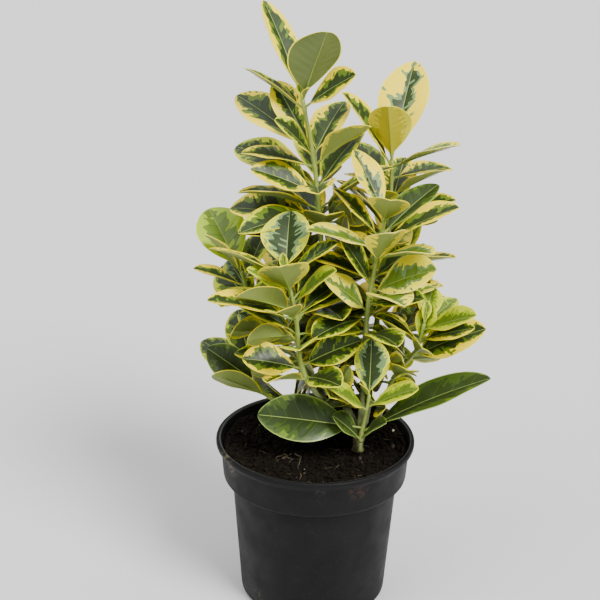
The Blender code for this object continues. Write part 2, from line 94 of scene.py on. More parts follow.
# Foot of the plant
FOOT_X = 25.5
FOOT_Y = -10.0
FOOT_LEAN_X = 0.5
FOOT_LEAN_Y = -0.4
FOOT_FLARE_RADIUS = 4.9
FOOT_WAIST_RADIUS = 3.3
FOOT_TOP = 109.5
HEAD_RADIUS = 4.4
HEAD_START = 0.45

# Growth rule, as in the source of the part
QUARTER_TURN = 90.0
FIRST_INTERNODE = 5.5
INTERNODE_GROWTH = 1.4
LONGEST_INTERNODE = 12.5
PETIOLE_SHARE = 0.13
PETIOLE_RADIUS = 0.75
ROOT_DEPTH = 0.9
LEAF_THICKNESS_SHARE = 0.016
FOLD = 0.30
CLEARANCE = 0.45
TRIES = 14
TURN_STEP = 4.0
LIFT_STEP = 3.0
SHRINK_STEP = 0.012
OLD_AGE = 80.0
FIRST_NODE = 1.5
LOWEST_NODE = 2.5
YOUNG_SHARE = 0.55
# Length and rise of the two pairs of leaves round the bud
ROSETTE = ((13.0, 74.0), (8.0, 82.0))
BLADE_STATIONS = (0.0, 0.18, 0.5, 0.8, 1.0)

# Finer twigs, which only the dressed plant has
FIRST_TWIG = 0.25
LOWEST_TWIG = 0.5
TWIG_SPREAD = 85.0
TWIG_RISES = (10.0, 60.0)
TWIG_LENGTHS = (5.0, 16.0)
TWIG_RADIUS = 0.6
TWIG_FLOOR = 118.0
TWIG_TRIES = 12
TWIG_CLEARANCE = 1.0
FEWEST_ON_TWIG = 2
# Turn, tilt, place below the tip and length of each leaf of a twig
TWIG_FAN = (
    (-30, 12, 0.5, 23), (32, 12, 0.5, 23), (-80, -8, 2.5, 28), (80, -8, 2.5, 28), (0, -22, 1.0, 26),
)

# Dressed blades: how much blunter the tip is than its solid's, how steeply the halves rise from the
# midrib, how far the rows run forward, the most twist in degrees, and the margin below which the
# underside shows no yellow. One row in so many is narrow, by its share, and carries a side vein.
BLUNTNESS = 0.14
CREASE = 0.37
SLANT = 0.17
MOST_TWIST = 9.0
THIN_MARGIN = 0.3
VEIN_ROWS = 6
VEIN_WIDTH = 0.3

# Dressed stems: steps along the bark and the green stem, how far and how widely the green one swells
# at a pair of leaves, how far it passes its last pair, and the spacing and width of the bough's scars
BARK_STEP = 0.7
STEM_STEP = 1.2
SWELL = 0.32
SWELL_WIDTH = 1.3
STEM_END = 0.6
SCAR_SPACING = 9.0
SCAR_WIDTH = 0.55

# Studio: half the floor's width, and the lights by heading, softness in degrees, power and colour
FLOOR_REACH = 18000.0
LIGHTS = (
    ("key light", (-0.63, 0.74, -1.0), 26.0, 4.9, (1.0, 0.985, 0.96)),
    ("fill light", (0.75, 0.55, -1.0), 42.0, 1.3, (0.97, 0.985, 1.0)),
    ("top light", (0.1, -0.35, -1.0), 80.0, 2.0, (1.0, 1.0, 1.0)),
)

# Colours of leaf and stem, as shown on screen
TONES = {
    "deep": "2c3c16",
    "leaf": "617a1d",
    "grey": "546c45",
    "fern": "3c5219",
    "sage": "72905a",
    "lime": "99b512",
    "spring": "cdd716",
    "golden": "fadf00",
    "lemon": "faec27",
    "cream": "faf07c",
    "rib": "90a450",
    "olive": "86954b",
    "moss": "5f6e35",
    "straw": "d7ce38",
    "khaki": "b8af21",
    "stalk": "8b9f42",
}
TONE_NAMES = list(TONES)


@dataclass
class Style:
    """How one leaf is painted: the margin's share of the half width, then the tones of its zones."""

    margin: float
    centre: str
    splash: str
    edge: str
    rim: str
    under: str = "olive"
    under_edge: str = "straw"
    vein: str = "fern"
    spots: float = 0.02


STYLES = {
    "golden": Style(0.38, "deep", "leaf", "golden", "lemon"),
    "broad": Style(0.66, "deep", "sage", "golden", "lemon", spots=0.06),
    "gilt": Style(0.45, "leaf", "lime", "golden", "lemon", under="khaki", under_edge="straw"),
    "cream": Style(0.55, "leaf", "sage", "lemon", "cream", under_edge="lemon", spots=0.05),
    "dark": Style(0.15, "deep", "leaf", "spring", "lemon", under="moss"),
    "grey": Style(0.08, "deep", "fern", "leaf", "rib", under="moss"),
    "plain": Style(0.22, "deep", "leaf", "spring", "golden"),
    "lime": Style(0.34, "leaf", "lime", "spring", "lemon"),
    "green": Style(0.20, "leaf", "lime", "lime", "spring"),
    "sage": Style(0.26, "deep", "sage", "spring", "lemon", spots=0.06),
}


@dataclass
class Shoot:
    """One stem: its bare bough, then the leafy mass that carries on from the bough's tip."""

    name: str
    parent: str
    leave: tuple
    route: tuple
    radius: float
    tip_radius: float
    bare: float
    leaf: float
    phase: float
    seed: int
    width: float = 0.52
    top_rise: float = 62.0
    low_rise: float = 18.0
    droop: float = 30.0
    rule_from: float = 0.0
    styles: tuple = ("plain", "golden", "dark")
    twig_side: float = 90.0
    portraits: tuple = ()


# Leaves that show best from the front, listed for each shoot. Each is its distance below the
# shoot's tip, azimuth, rise and length, its width as a share of the length, its roll and its style.
SHOOTS = (
    Shoot("left_leader", "foot", (128, 52),
          ((11, 12, 135), (4, 16, 186), (0, 21, 240), (-4, 22, 272), (-11, 20, 309)),
          2.1, 1.0, 0.22, 50, 100, 11, rule_from=50,
          styles=("golden", "plain", "golden", "dark"), portraits=(
              (2, 120, 45, 68, 0.28, 25, "golden"),
              (1, -48, 66, 48, 0.66, -40, "dark"),
              (6, -40, 36, 46, 0.45, 35, "golden"),
              (7, 150, 24, 44, 0.36, 30, "plain"),
              (34, 142, 22, 62, 0.42, -10, "golden"),
              (32, 140, 50, 46, 0.40, -25, "golden"),
              (37, -155, 46, 36, 0.50, -40, "plain"),
              (37, 60, 34, 44, 0.55, 0, "golden"),
              (42, -20, 40, 44, 0.58, -30, "golden"),
              (43, 172, 8, 44, 0.48, 0, "golden"),
              (56, 147, 14, 60, 0.46, -15, "plain"),
              (57, 48, 34, 48, 0.50, 0, "plain"),
              (60, -172, 30, 46, 0.45, -35, "golden"),
              (72, -158, -6, 50, 0.50, -20, "plain"),
              (78, 165, 4, 56, 0.60, -20, "golden"),
          )),
    Shoot("right_leader", "foot", (55, 50),
          ((34, 18, 146), (38, 26, 195), (42, 33, 235), (42, 36, 268)),
          2.0, 1.0, 0.25, 48, 75, 12, rule_from=16,
          styles=("golden", "plain", "broad"), portraits=(
              (1, 72, 47, 66, 0.46, 0, "broad"),
              (2, -105, 68, 42, 0.60, 0, "gilt"),
              (5, 178, 56, 54, 0.42, -20, "golden"),
              (5, -28, 26, 48, 0.40, 0, "cream"),
              (12, 32, -2, 44, 0.52, 0, "golden"),
              (13, 130, 18, 42, 0.45, 0, "plain"),
          )),
    Shoot("front_right", "foot", (-80, 70),
          ((28, -3, 150), (29, -6, 190), (33, -9, 222), (37, -12, 250)),
          1.9, 0.9, 0.30, 46, 110, 13, rule_from=28,
          styles=("cream", "golden", "dark", "cream"), portraits=(
              (1, 128, 48, 44, 0.44, 0, "broad"),
              (4, -86, 42, 34, 0.70, 0, "lime"),
              (13, 38, 28, 48, 0.46, -15, "grey"),
              (15, 135, 28, 44, 0.38, 10, "golden"),
              (18, -20, 32, 54, 0.44, 10, "golden"),
              (22, -165, 20, 46, 0.46, 0, "cream"),
              (27, -40, 18, 42, 0.52, 0, "cream"),
              (46, -160, 58, 40, 0.42, -35, "dark"),
              (51, -28, 30, 48, 0.56, 35, "cream"),
              (58, -24, 16, 36, 0.50, 20, "dark"),
              (63, -158, 42, 38, 0.50, -30, "cream"),
          )),
    Shoot("front_left", "foot", (205, 40),
          ((9, -11, 125), (-8, -12, 152), (-13, -16, 190), (-19, -20, 218)),
          1.9, 0.9, 0.34, 48, 80, 14, rule_from=20,
          styles=("golden", "plain", "lime"), portraits=(
              (1, 92, 46, 40, 0.78, 0, "sage"),
              (4, 158, 12, 50, 0.34, 35, "golden"),
              (3, -8, 44, 38, 0.45, 0, "plain"),
              (14, -105, 46, 36, 0.82, 0, "golden"),
              (19, 38, 25, 44, 0.48, 0, "dark"),
              (27, -145, 26, 44, 0.58, 38, "plain"),
              (31, 8, 50, 44, 0.45, 0, "dark"),
              (33, -172, 16, 54, 0.50, 10, "golden"),
              (64, -5, 28, 40, 0.52, 35, "dark"),
              (66, -170, 14, 37, 0.60, -35, "golden"),
              (72, -60, 22, 40, 0.50, 0, "dark"),
              (74, -122, 22, 40, 0.50, 0, "golden"),
          )),
    Shoot("left_side", "left_leader", (170, 0.10), ((-10, 18, 145), (-36, 24, 172), (-46, 23, 201)),
          1.6, 0.9, 0.35, 42, 140, 15, rule_from=12,
          styles=("lime", "plain", "sage"), portraits=(
              (2, 128, 42, 46, 0.66, 0, "green"),
              (2, -160, 50, 36, 0.50, 0, "lime"),
              (8, 66, 38, 36, 0.55, 0, "plain"),
              (11, -172, 22, 34, 0.48, 0, "golden"),
          )),
    Shoot("low_left", "foot", (165, 12), ((-4, 13, 114), (-30, 16, 122), (-40, 15, 143)),
          1.5, 0.9, 0.25, 44, 60, 16, rule_from=36,
          styles=("dark", "grey", "dark"), portraits=(
              (3, 104, 28, 46, 0.46, 0, "dark"),
              (16, 137, 16, 52, 0.45, 0, "dark"),
              (14, 172, 34, 38, 0.55, -45, "grey"),
              (26, -160, 34, 46, 0.36, -28, "sage"),
              (40, 62, 34, 42, 0.50, 0, "dark"),
              (46, -20, 44, 34, 0.50, 0, "dark"),
              (52, 130, 34, 40, 0.50, 0, "dark"),
          )),
    Shoot("right_side", "foot", (5, 30), ((47, 5, 142), (59, 4, 160), (63, 4, 177)),
          1.6, 0.9, 0.3, 42, 20, 17, rule_from=10,
          styles=("lime", "golden", "dark"), portraits=(
              (2, 75, 30, 30, 0.50, 0, "lime"),
              (3, 50, 14, 34, 0.45, 0, "lime"),
              (5, -33, 28, 40, 0.46, 35, "lime"),
              (12, -27, 25, 38, 0.46, 30, "golden"),
              (14, -152, 38, 38, 0.50, 0, "plain"),
              (24, -12, 28, 50, 0.54, 35, "golden"),
              (26, -152, 44, 36, 0.50, 0, "dark"),
          )),
    Shoot("front_low", "foot_side", (-85, 103.5), ((27, -18, 114), (29, -18, 125), (31, -19, 141)),
          1.2, 0.8, 0.25, 36, 180, 18, rule_from=40, twig_side=None,
          styles=("plain", "lime"), portraits=(
              (3, 85, 72, 36, 0.60, 0, "sage"),
              (9, -20, 30, 36, 0.50, 15, "lime"),
              (11, -150, 38, 32, 0.60, -15, "lime"),
              (26, -10, 30, 86, 0.32, 20, "grey"),
              (23, 180, 7, 63, 0.46, -50, "grey"),
              (31, 198, 46, 26, 0.62, -42, "grey"),
              (30, -40, 42, 25, 0.62, 34, "grey"),
          )),
    Shoot("back_left", "left_leader", (80, 0.14), ((6, 30, 150), (-6, 40, 190), (-10, 44, 222)),
          1.6, 0.9, 0.2, 46, 30, 19, twig_side=-90, styles=("plain", "golden", "dark", "grey")),
    Shoot("back_right", "right_leader", (60, 0.16), ((46, 34, 150), (51, 42, 178), (52, 47, 200)),
          1.6, 0.9, 0.2, 46, 50, 20, twig_side=-90, styles=("golden", "plain", "lime")),
)


def colour_of(name, description, default):
    """The property of a colour."""
    return bpy.props.FloatVectorProperty(
        name=name, description=description, subtype="COLOR", size=3, default=default, min=0.0, max=1.0)


class PotLooks(bpy.types.PropertyGroup):
    """Sizes and colours of the pot and the peat."""

    steps: bpy.props.IntProperty(name="Steps", description="Faces round the pot", default=144, min=24)
    plastic: colour_of("Plastic", "Colour of the plastic", (0.0036, 0.0037, 0.0041))
    dust: colour_of("Dust", "Colour of the dried dirt on the plastic", (0.024, 0.022, 0.016))
    crumbs: bpy.props.IntProperty(
        name="Crumbs", description="Number of loose crumbs on the peat", default=2600, min=0)
    crumb_size: bpy.props.FloatProperty(
        name="Crumb size", description="Usual radius of a crumb", default=0.0009, unit="LENGTH")


class LeafLooks(bpy.types.PropertyGroup):
    """Sizes and finish of the leaves."""

    rows: bpy.props.IntProperty(
        name="Rows", description="Rows of faces along a blade", default=36, min=8)
    thickness: bpy.props.FloatProperty(
        name="Thickness", description="Thickness of a blade at its midrib", default=0.0005,
        unit="LENGTH")
    ripple: bpy.props.FloatProperty(
        name="Ripple", description="Wave of a blade's edge, as a share of its half width", default=0.05)
    roughness: bpy.props.FloatProperty(
        name="Roughness", description="Roughness of the upper face", default=0.40, min=0.0, max=1.0)


class StudioLooks(bpy.types.PropertyGroup):
    """Camera and floor."""

    lens: bpy.props.FloatProperty(
        name="Lens", description="Focal length", default=108.0, unit="CAMERA")
    pitch: bpy.props.FloatProperty(
        name="Pitch", description="Downward look of the camera", default=math.radians(23.3),
        unit="ROTATION")
    roll: bpy.props.FloatProperty(
        name="Roll", description="Turn of the picture", default=math.radians(0.9), unit="ROTATION")
    camera_place: bpy.props.FloatVectorProperty(
        name="Camera", description="Place of the camera", subtype="TRANSLATION", size=3,
        unit="LENGTH", default=(-0.01054, -0.96757, 0.60917))
    floor: colour_of("Floor", "Colour of the floor", (0.66, 0.65, 0.66))


# Growth, in millimetres


def blend(start, end, t, low, high):
    """Straight blend from start at t = low to end at t = high."""
    return ((high - t) * start + (t - low) * end) / (high - low)


def smooth_route(points, spacing):
    """A curve through the points by the centripetal rule, read at even steps of about the spacing."""
    points = np.array(points, float)
    ends = np.vstack([2 * points[0] - points[1], points, 2 * points[-1] - points[-2]])
    fine = []
    for i in range(1, len(ends) - 2):
        four = ends[i - 1 : i + 3]
        k = np.concatenate([[0.0], np.cumsum(np.linalg.norm(np.diff(four, axis=0), axis=1) ** 0.5)])
        t = np.linspace(k[1], k[2], 24, endpoint=False)[:, None]
        singles = [blend(four[n], four[n + 1], t, k[n], k[n + 1]) for n in range(3)]
        doubles = [blend(singles[n], singles[n + 1], t, k[n], k[n + 2]) for n in range(2)]
        fine.append(blend(doubles[0], doubles[1], t, k[1], k[2]))
    fine = np.vstack([*fine, points[-1:]])
    run = np.concatenate([[0.0], np.cumsum(np.linalg.norm(np.diff(fine, axis=0), axis=1))])
    count = max(2, int(round(run[-1] / spacing)) + 1)
    even = np.linspace(0.0, run[-1], count)
    return np.stack([np.interp(even, run, fine[:, axis]) for axis in range(3)], 1)


def direction(azimuth, rise):
    """Unit vector from an azimuth (0 to the right, 90 away from the front) and a rise, in degrees."""
    azimuth, rise = math.radians(azimuth), math.radians(rise)
    level = math.cos(rise)
    return np.array([level * math.cos(azimuth), level * math.sin(azimuth), math.sin(rise)])


class Stem:
    """A tapering stem along a route, with its place and direction at any length along it."""

    def __init__(self, route, radius, tip_radius):
        self.route = route
        steps = np.linalg.norm(np.diff(route, axis=0), axis=1)
        self.run = np.concatenate([[0.0], np.cumsum(steps)])
        self.length = self.run[-1]
        self.radius, self.tip_radius = radius, tip_radius

    def at(self, along):
        return np.stack([np.interp(along, self.run, self.route[:, axis]) for axis in range(3)], -1)

    def heading(self, along):
        step = self.at(min(along + 1.0, self.length)) - self.at(max(along - 1.0, 0.0))
        return step / np.linalg.norm(step)

    def radius_at(self, along):
        return self.radius + (self.tip_radius - self.radius) * along / self.length

    def piece(self, start, end, spacing):
        """The points and radii of the stretch between two lengths."""
        along = np.linspace(start, end, max(2, int(round((end - start) / spacing)) + 1))
        return self.at(along), self.radius_at(along)


def limb_tree(points, radii, resolution=1):
    """The test shape of a limb: the same bevelled curve that the part's source makes."""
    curve = bpy.data.curves.new("limb", "CURVE")
    curve.dimensions = "3D"
    curve.bevel_depth = MM
    curve.bevel_resolution = resolution
    curve.use_fill_caps = True
    spline = curve.splines.new("POLY")
    spline.points.add(len(points) - 1)
    for point, place, radius in zip(spline.points, points, radii):
        point.co = (*(place * MM), 1.0)
        point.radius = radius
    guide = bpy.data.objects.new("limb", curve)
    bpy.context.scene.collection.objects.link(guide)
    bpy.context.view_layer.update()
    graph = bpy.context.evaluated_depsgraph_get()
    mesh = bpy.data.meshes.new_from_object(guide.evaluated_get(graph))
    bpy.data.objects.remove(guide, do_unlink=True)
    bpy.data.curves.remove(curve)
    shape = bmesh.new()
    shape.from_mesh(mesh)
    bmesh.ops.remove_doubles(shape, verts=shape.verts, dist=0.00001)
    bmesh.ops.recalc_face_normals(shape, faces=shape.faces)
    shape.to_mesh(mesh)
    shape.free()
    tree = tree_of([v.co / MM for v in mesh.vertices], [tuple(p.vertices) for p in mesh.polygons])
    bpy.data.meshes.remove(mesh)
    return tree


def blade_half_width(share, skew=1.15, blunt=0.0):
    """Half width of an obovate blade as a share of its greatest half width, by a skewed sine, whose
    power falls towards the tip by the bluntness."""
    share = np.clip(share, 0.0, 1.0)
    return np.sin(np.pi * share**skew) ** (0.75 - blunt * share)


def midrib_arc(x, length, droop):
    """Place and face normal, in the leaf's upright plane, on an arc whose chord lies on +X."""
    turn = np.radians(droop)
    bend = turn * x / length
    chord = length * np.sin(0.5 * bend) / (0.5 * turn)
    slope = 0.5 * turn - 0.5 * bend
    place = (chord * np.cos(slope), chord * np.sin(slope))
    slope = slope - 0.5 * bend
    return place, (-np.sin(slope), np.cos(slope))


def on_arc(x, length, droop, y, height):
    """Points at a height off the midrib's arc and at a place y across it."""
    place, normal = midrib_arc(x, length, droop)
    return np.stack([place[0] + normal[0] * height, y, place[1] + normal[1] * height], -1)


def ring_quads(rings, sides):
    """Quads that join closed rings of points to one another."""
    r = np.arange(rings - 1)[:, None] * sides
    k = np.arange(sides)[None]
    n = (k + 1) % sides
    return np.stack([r + k, r + n, r + sides + n, r + sides + k], -1).reshape(-1, 4)


# The corners of a quad in the order that turns its face over
OVER = [0, 3, 2, 1]


def leaf_shape(length, width, droop, matrix, extra=0.0):
    """Points and faces of the coarse closed leaf that the clearance tests use: rings of four points
    (left, top, right, bottom) along +X, face up, which the matrix puts on the stem."""
    petiole = length * PETIOLE_SHARE
    stations = np.array(BLADE_STATIONS[1:])
    x = np.concatenate([[-ROOT_DEPTH, petiole], petiole + stations * (length - petiole)])
    half = np.maximum(PETIOLE_RADIUS * (1 - stations), 0.5 * width * blade_half_width(stations))
    half = np.concatenate([[PETIOLE_RADIUS, PETIOLE_RADIUS], half])
    deep = 0.5 * length * LEAF_THICKNESS_SHARE * (1.15 - 0.7 * stations)
    deep = np.concatenate([[0.8 * PETIOLE_RADIUS, 0.8 * PETIOLE_RADIUS], deep]) + extra
    fold, half, middle = FOLD * half, half + extra, np.zeros(len(x))
    rings = np.stack([on_arc(x, length, droop, y, height) for y, height in (
        (half, fold), (middle, deep), (-half, fold), (middle, -deep))], 1)
    points = np.vstack([rings[:-1].reshape(-1, 3), rings[-1].mean(axis=0)])
    tip = len(points) - 1
    faces = [(3, 2, 1, 0), *ring_quads(len(rings) - 1, 4).tolist()]
    faces += [(tip - 4 + side, tip - 4 + (side + 1) % 4, tip) for side in range(4)]
    return points @ matrix[:3, :3].T + matrix[:3, 3], faces


def leaf_matrix(place, heading, azimuth, rise, roll):
    """Places a leaf at a node: its X runs out at the azimuth and rise, its face turned up the stem."""
    out = direction(azimuth, rise)
    face = heading - out * np.dot(heading, out)
    if np.linalg.norm(face) < 0.05:
        face = -direction(azimuth, 0.0) + out * np.dot(direction(azimuth, 0.0), out)
    face = face / np.linalg.norm(face)
    side = np.cross(face, out)
    angle = math.radians(roll)
    matrix = np.eye(4)
    matrix[:3, 0] = out
    matrix[:3, 1] = side * math.cos(angle) + face * math.sin(angle)
    matrix[:3, 2] = face * math.cos(angle) - side * math.sin(angle)
    matrix[:3, 3] = place
    return matrix


def tree_of(points, faces):
    return BVHTree.FromPolygons([tuple(p) for p in points], faces)


@dataclass
class Leaf:
    """One leaf that found its place."""

    length: float
    width: float
    droop: float
    matrix: np.ndarray
    style: str
    below: float


@dataclass
class Plant:
    """Every limb and leaf that stands so far, so that the next one can keep clear of them."""

    stems: dict = field(default_factory=dict)
    starts: dict = field(default_factory=dict)
    fixed: list = field(default_factory=list)
    standing: list = field(default_factory=list)
    leaves: dict = field(default_factory=dict)
    twigs: list = field(default_factory=list)

    def touches(self, mass, whole, blade):
        """Whether a leaf meets what stands: all of it against other masses, its blade in its own."""
        if any(whole.overlap(other) for owner, other in self.fixed if owner != mass):
            return True
        for owner, other_whole, other_blade in self.standing:
            if blade.overlap(other_blade) if owner == mass else whole.overlap(other_whole):
                return True
        return False


def place_leaf(mass, stem, aim, droop, style, rule, plant, clearance=CLEARANCE):
    """One leaf at a node, or None. A leaf that would touch a limb or another leaf is turned, lifted
    and shortened a little more at each try, and is skipped when no try is clear."""
    below, azimuth, rise, length, share, roll = aim
    place = stem.at(stem.length - below)
    heading = stem.heading(stem.length - below)
    for attempt in range(TRIES):
        turn = rule.uniform(-TURN_STEP, TURN_STEP) * attempt
        lift = rule.uniform(-LIFT_STEP, LIFT_STEP) * attempt
        shrink = 1.0 - SHRINK_STEP * attempt
        matrix = leaf_matrix(place, heading, azimuth + turn, rise + lift, roll)
        size = (length * shrink, length * share * shrink, droop, matrix)
        points, faces = leaf_shape(*size, clearance)
        blade = [tuple(i - 4 for i in face) for face in faces[5:]]
        if not plant.touches(mass, tree_of(points, faces), tree_of(points[4:], blade)):
            points, faces = leaf_shape(*size)
            plant.standing.append((mass, tree_of(points, faces), tree_of(points[4:], blade)))
            plant.leaves[mass].append(Leaf(*size, style, below))
            return


def node_step(whorl, rule):
    """The distance from one pair of leaves down to the next."""
    return min(FIRST_INTERNODE + INTERNODE_GROWTH * whorl, LONGEST_INTERNODE) * rule.uniform(0.9, 1.1)


def grow_portraits(shoot, plant):
    """The leaves listed in the shoot's portraits."""
    rule = random.Random(shoot.seed)
    for aim in shoot.portraits:
        age = min(aim[0] / OLD_AGE, 1.0)
        droop = shoot.droop * (0.4 + 0.5 * age)
        place_leaf(shoot.name, plant.stems[shoot.name], aim[:6], droop, aim[6], rule, plant)


def grow_leaves(shoot, plant):
    """The other leaves, from the tip down: opposite pairs, each turned a quarter from the last,
    longer and flatter with age."""
    rule = random.Random(shoot.seed + 100)
    dealer = random.Random(shoot.seed + 200)
    stem = plant.stems[shoot.name]
    below = FIRST_NODE
    whorl = 0
    while stem.length - below > plant.starts[shoot.name] + LOWEST_NODE:
        if below < shoot.rule_from:
            below, whorl = below + node_step(whorl, rule), whorl + 1
            continue
        age = min(below / OLD_AGE, 1.0)
        rise_here = shoot.low_rise + (shoot.top_rise - shoot.low_rise) * (1.0 - age) ** 2
        size = shoot.leaf * (YOUNG_SHARE + (1.0 - YOUNG_SHARE) * min(2.5 * age, 1.0))
        for side in range(2):
            azimuth = shoot.phase + QUARTER_TURN * whorl + 180.0 * side + rule.uniform(-14, 14)
            rise = rise_here + rule.uniform(-9, 9)
            length = size * rule.uniform(0.82, 1.08)
            share = shoot.width * rule.uniform(0.9, 1.1)
            roll = rule.uniform(-14, 14)
            droop = shoot.droop * rule.uniform(0.6, 1.3) * (0.5 + 0.5 * age)
            aim = (below, azimuth, rise, length, share, roll)
            place_leaf(shoot.name, stem, aim, droop, dealer.choice(shoot.styles), rule, plant)
        below, whorl = below + node_step(whorl, rule), whorl + 1


def grow_rosette(shoot, plant):
    """The youngest leaves round the bud: two short upright pairs at the very tip."""
    rule = random.Random(shoot.seed + 500)
    for pair, (length, rise) in enumerate(ROSETTE):
        for side in range(2):
            azimuth = shoot.phase + 45.0 + QUARTER_TURN * pair + 180.0 * side
            aim = (0.8 - 0.5 * pair, azimuth, rise, length * rule.uniform(0.8, 1.2), 0.42, 0.0)
            place_leaf(shoot.name, plant.stems[shoot.name], aim, 12.0, "lime", rule, plant)


def rod_tree(start, end, radius):
    """The test shape of a straight twig: a four-sided rod."""
    heading = (end - start) / np.linalg.norm(end - start)
    side = np.cross(heading, (0.0, 0.6, 0.8))
    side = side / np.linalg.norm(side)
    corners = radius * np.array([side, np.cross(heading, side), -side, -np.cross(heading, side)])
    faces = [(0, 1, 2, 3), (7, 6, 5, 4), (0, 4, 5, 1), (1, 5, 6, 2), (2, 6, 7, 3), (3, 7, 4, 0)]
    return tree_of(np.vstack([start + corners, end + corners]), faces)


def grow_twig(shoot, mass, along, rule, plant):
    """One side twig with its leaves, which stays only where there is room for it and enough of them."""
    stem = plant.stems[shoot.name]
    azimuth = shoot.twig_side + rule.uniform(-TWIG_SPREAD, TWIG_SPREAD)
    rise = rule.uniform(*TWIG_RISES)
    out = direction(azimuth, rise)
    root = stem.at(along)
    tip = root + out * rule.uniform(*TWIG_LENGTHS)
    clear = root + out * (stem.radius_at(along) + CLEARANCE)
    rod = rod_tree(clear, tip, TWIG_RADIUS + CLEARANCE)
    if tip[2] < TWIG_FLOOR or plant.touches("", rod, rod):
        return
    twig = Stem(np.array([root, 0.5 * (root + tip), tip]), TWIG_RADIUS, 0.7 * TWIG_RADIUS)
    found, stood = len(plant.leaves[mass]), len(plant.standing)
    for turn, tilt, back, size in TWIG_FAN:
        aim = (back, azimuth + turn + rule.uniform(-12, 12), rise + tilt + rule.uniform(-10, 10),
               size * rule.uniform(0.8, 1.2), shoot.width * rule.uniform(0.9, 1.1),
               rule.uniform(-15, 15))
        droop = shoot.droop * rule.uniform(0.5, 1.0)
        place_leaf(mass, twig, aim, droop, rule.choice(shoot.styles), rule, plant, TWIG_CLEARANCE)
    if len(plant.leaves[mass]) < found + FEWEST_ON_TWIG:
        del plant.leaves[mass][found:]
        del plant.standing[stood:]
        return
    plant.fixed.append((mass, rod_tree(clear, tip, TWIG_RADIUS)))
    plant.twigs.append(twig)


def grow_twigs(shoot, plant):
    """Short side twigs from the older axils, each with a fan of smaller leaves, where there is room."""
    rule = random.Random(shoot.seed + 400)
    stem = plant.stems[shoot.name]
    below = FIRST_TWIG * stem.length
    whorl = 0
    while stem.length - below > LOWEST_TWIG * plant.starts[shoot.name]:
        for _ in range(TWIG_TRIES):
            grow_twig(shoot, f"{shoot.name} twigs", stem.length - below, rule, plant)
        below, whorl = below + node_step(whorl, rule), whorl + 1


def foot_point(height):
    share = (height - SOIL_HEIGHT) / (FOOT_TOP - SOIL_HEIGHT)
    return np.array([FOOT_X + FOOT_LEAN_X * share, FOOT_Y + FOOT_LEAN_Y * share, height])


def foot_radius(share):
    """Flare at the soil, a waist, then the swollen head that the stems leave."""
    flare = (FOOT_FLARE_RADIUS - FOOT_WAIST_RADIUS) * math.exp(-share * 7.0)
    swell = math.sin(0.5 * math.pi * max(share - HEAD_START, 0.0) / (1.0 - HEAD_START)) ** 2
    return FOOT_WAIST_RADIUS + flare + (HEAD_RADIUS - FOOT_WAIST_RADIUS) * swell


def foot_profile(count):
    """Points and radii up the foot and over its domed head."""
    heights = np.linspace(SOIL_HEIGHT + GAP, FOOT_TOP, count)
    points = [foot_point(h) for h in heights]
    radii = [foot_radius((h - SOIL_HEIGHT) / (FOOT_TOP - SOIL_HEIGHT)) for h in heights]
    for angle in np.radians((30, 60, 80)):
        points.append(foot_point(FOOT_TOP) + np.array([0, 0, HEAD_RADIUS * math.sin(angle)]))
        radii.append(HEAD_RADIUS * math.cos(angle))
    return np.array(points), np.array(radii)


def stem_route(shoot, plant):
    """The shoot's stem from just clear of what carries it, through its route."""
    if shoot.parent == "foot":
        out = direction(*shoot.leave)
        start = foot_point(FOOT_TOP) + out * (HEAD_RADIUS + GAP)
    elif shoot.parent == "foot_side":
        azimuth, height = shoot.leave
        out = direction(azimuth, 0.0)
        share = (height - SOIL_HEIGHT) / (FOOT_TOP - SOIL_HEIGHT)
        start = foot_point(height) + out * (foot_radius(share) + 2 * GAP)
    else:
        azimuth, share = shoot.leave
        parent = plant.stems[shoot.parent]
        along = share * parent.length
        heading = parent.heading(along)
        out = direction(azimuth, 0.0)
        out = out - heading * np.dot(out, heading)
        out = out / np.linalg.norm(out)
        start = parent.at(along) + out * (parent.radius_at(along) + 1.5 * GAP)
    lead = start + out * 5.0
    return smooth_route([start, lead, *shoot.route], 2.0)


def grow_plant():
    """All limbs first, then the listed leaves, then the rest, as in the part's source."""
    plant = Plant()
    plant.fixed.append(("stem_foot", limb_tree(*foot_profile(8), resolution=2)))
    for shoot in SHOOTS:
        stem = Stem(stem_route(shoot, plant), shoot.radius, shoot.tip_radius)
        start = shoot.bare * stem.length
        plant.stems[shoot.name] = stem
        plant.starts[shoot.name] = start
        plant.leaves[shoot.name] = []
        plant.leaves[f"{shoot.name} twigs"] = []
        plant.fixed.append((f"bough_{shoot.name}", limb_tree(*stem.piece(0.0, start, 6.0))))
        plant.fixed.append((shoot.name, limb_tree(*stem.piece(start + GAP, stem.length, 8.0))))
    for shoot in SHOOTS:
        grow_portraits(shoot, plant)
    for shoot in SHOOTS:
        grow_leaves(shoot, plant)
    for shoot in SHOOTS:
        grow_rosette(shoot, plant)
    for shoot in SHOOTS:
        if shoot.twig_side is not None:
            grow_twigs(shoot, plant)
    return plant


GROWN = []


def grown_plant():
    """The plant, grown once for all operators."""
    if not GROWN:
        GROWN.append(grow_plant())
    return GROWN[0]


# Meshes

NO_QUADS = np.zeros((0, 4), int)
NO_TRIANGLES = np.zeros((0, 3), int)


def linear(code):
    """Linear colour of a screen colour given as six hexadecimal digits."""
    shown = np.array([int(code[i : i + 2], 16) / 255.0 for i in (0, 2, 4)])
    return np.where(shown <= 0.04045, shown / 12.92, ((shown + 0.055) / 1.055) ** 2.4)


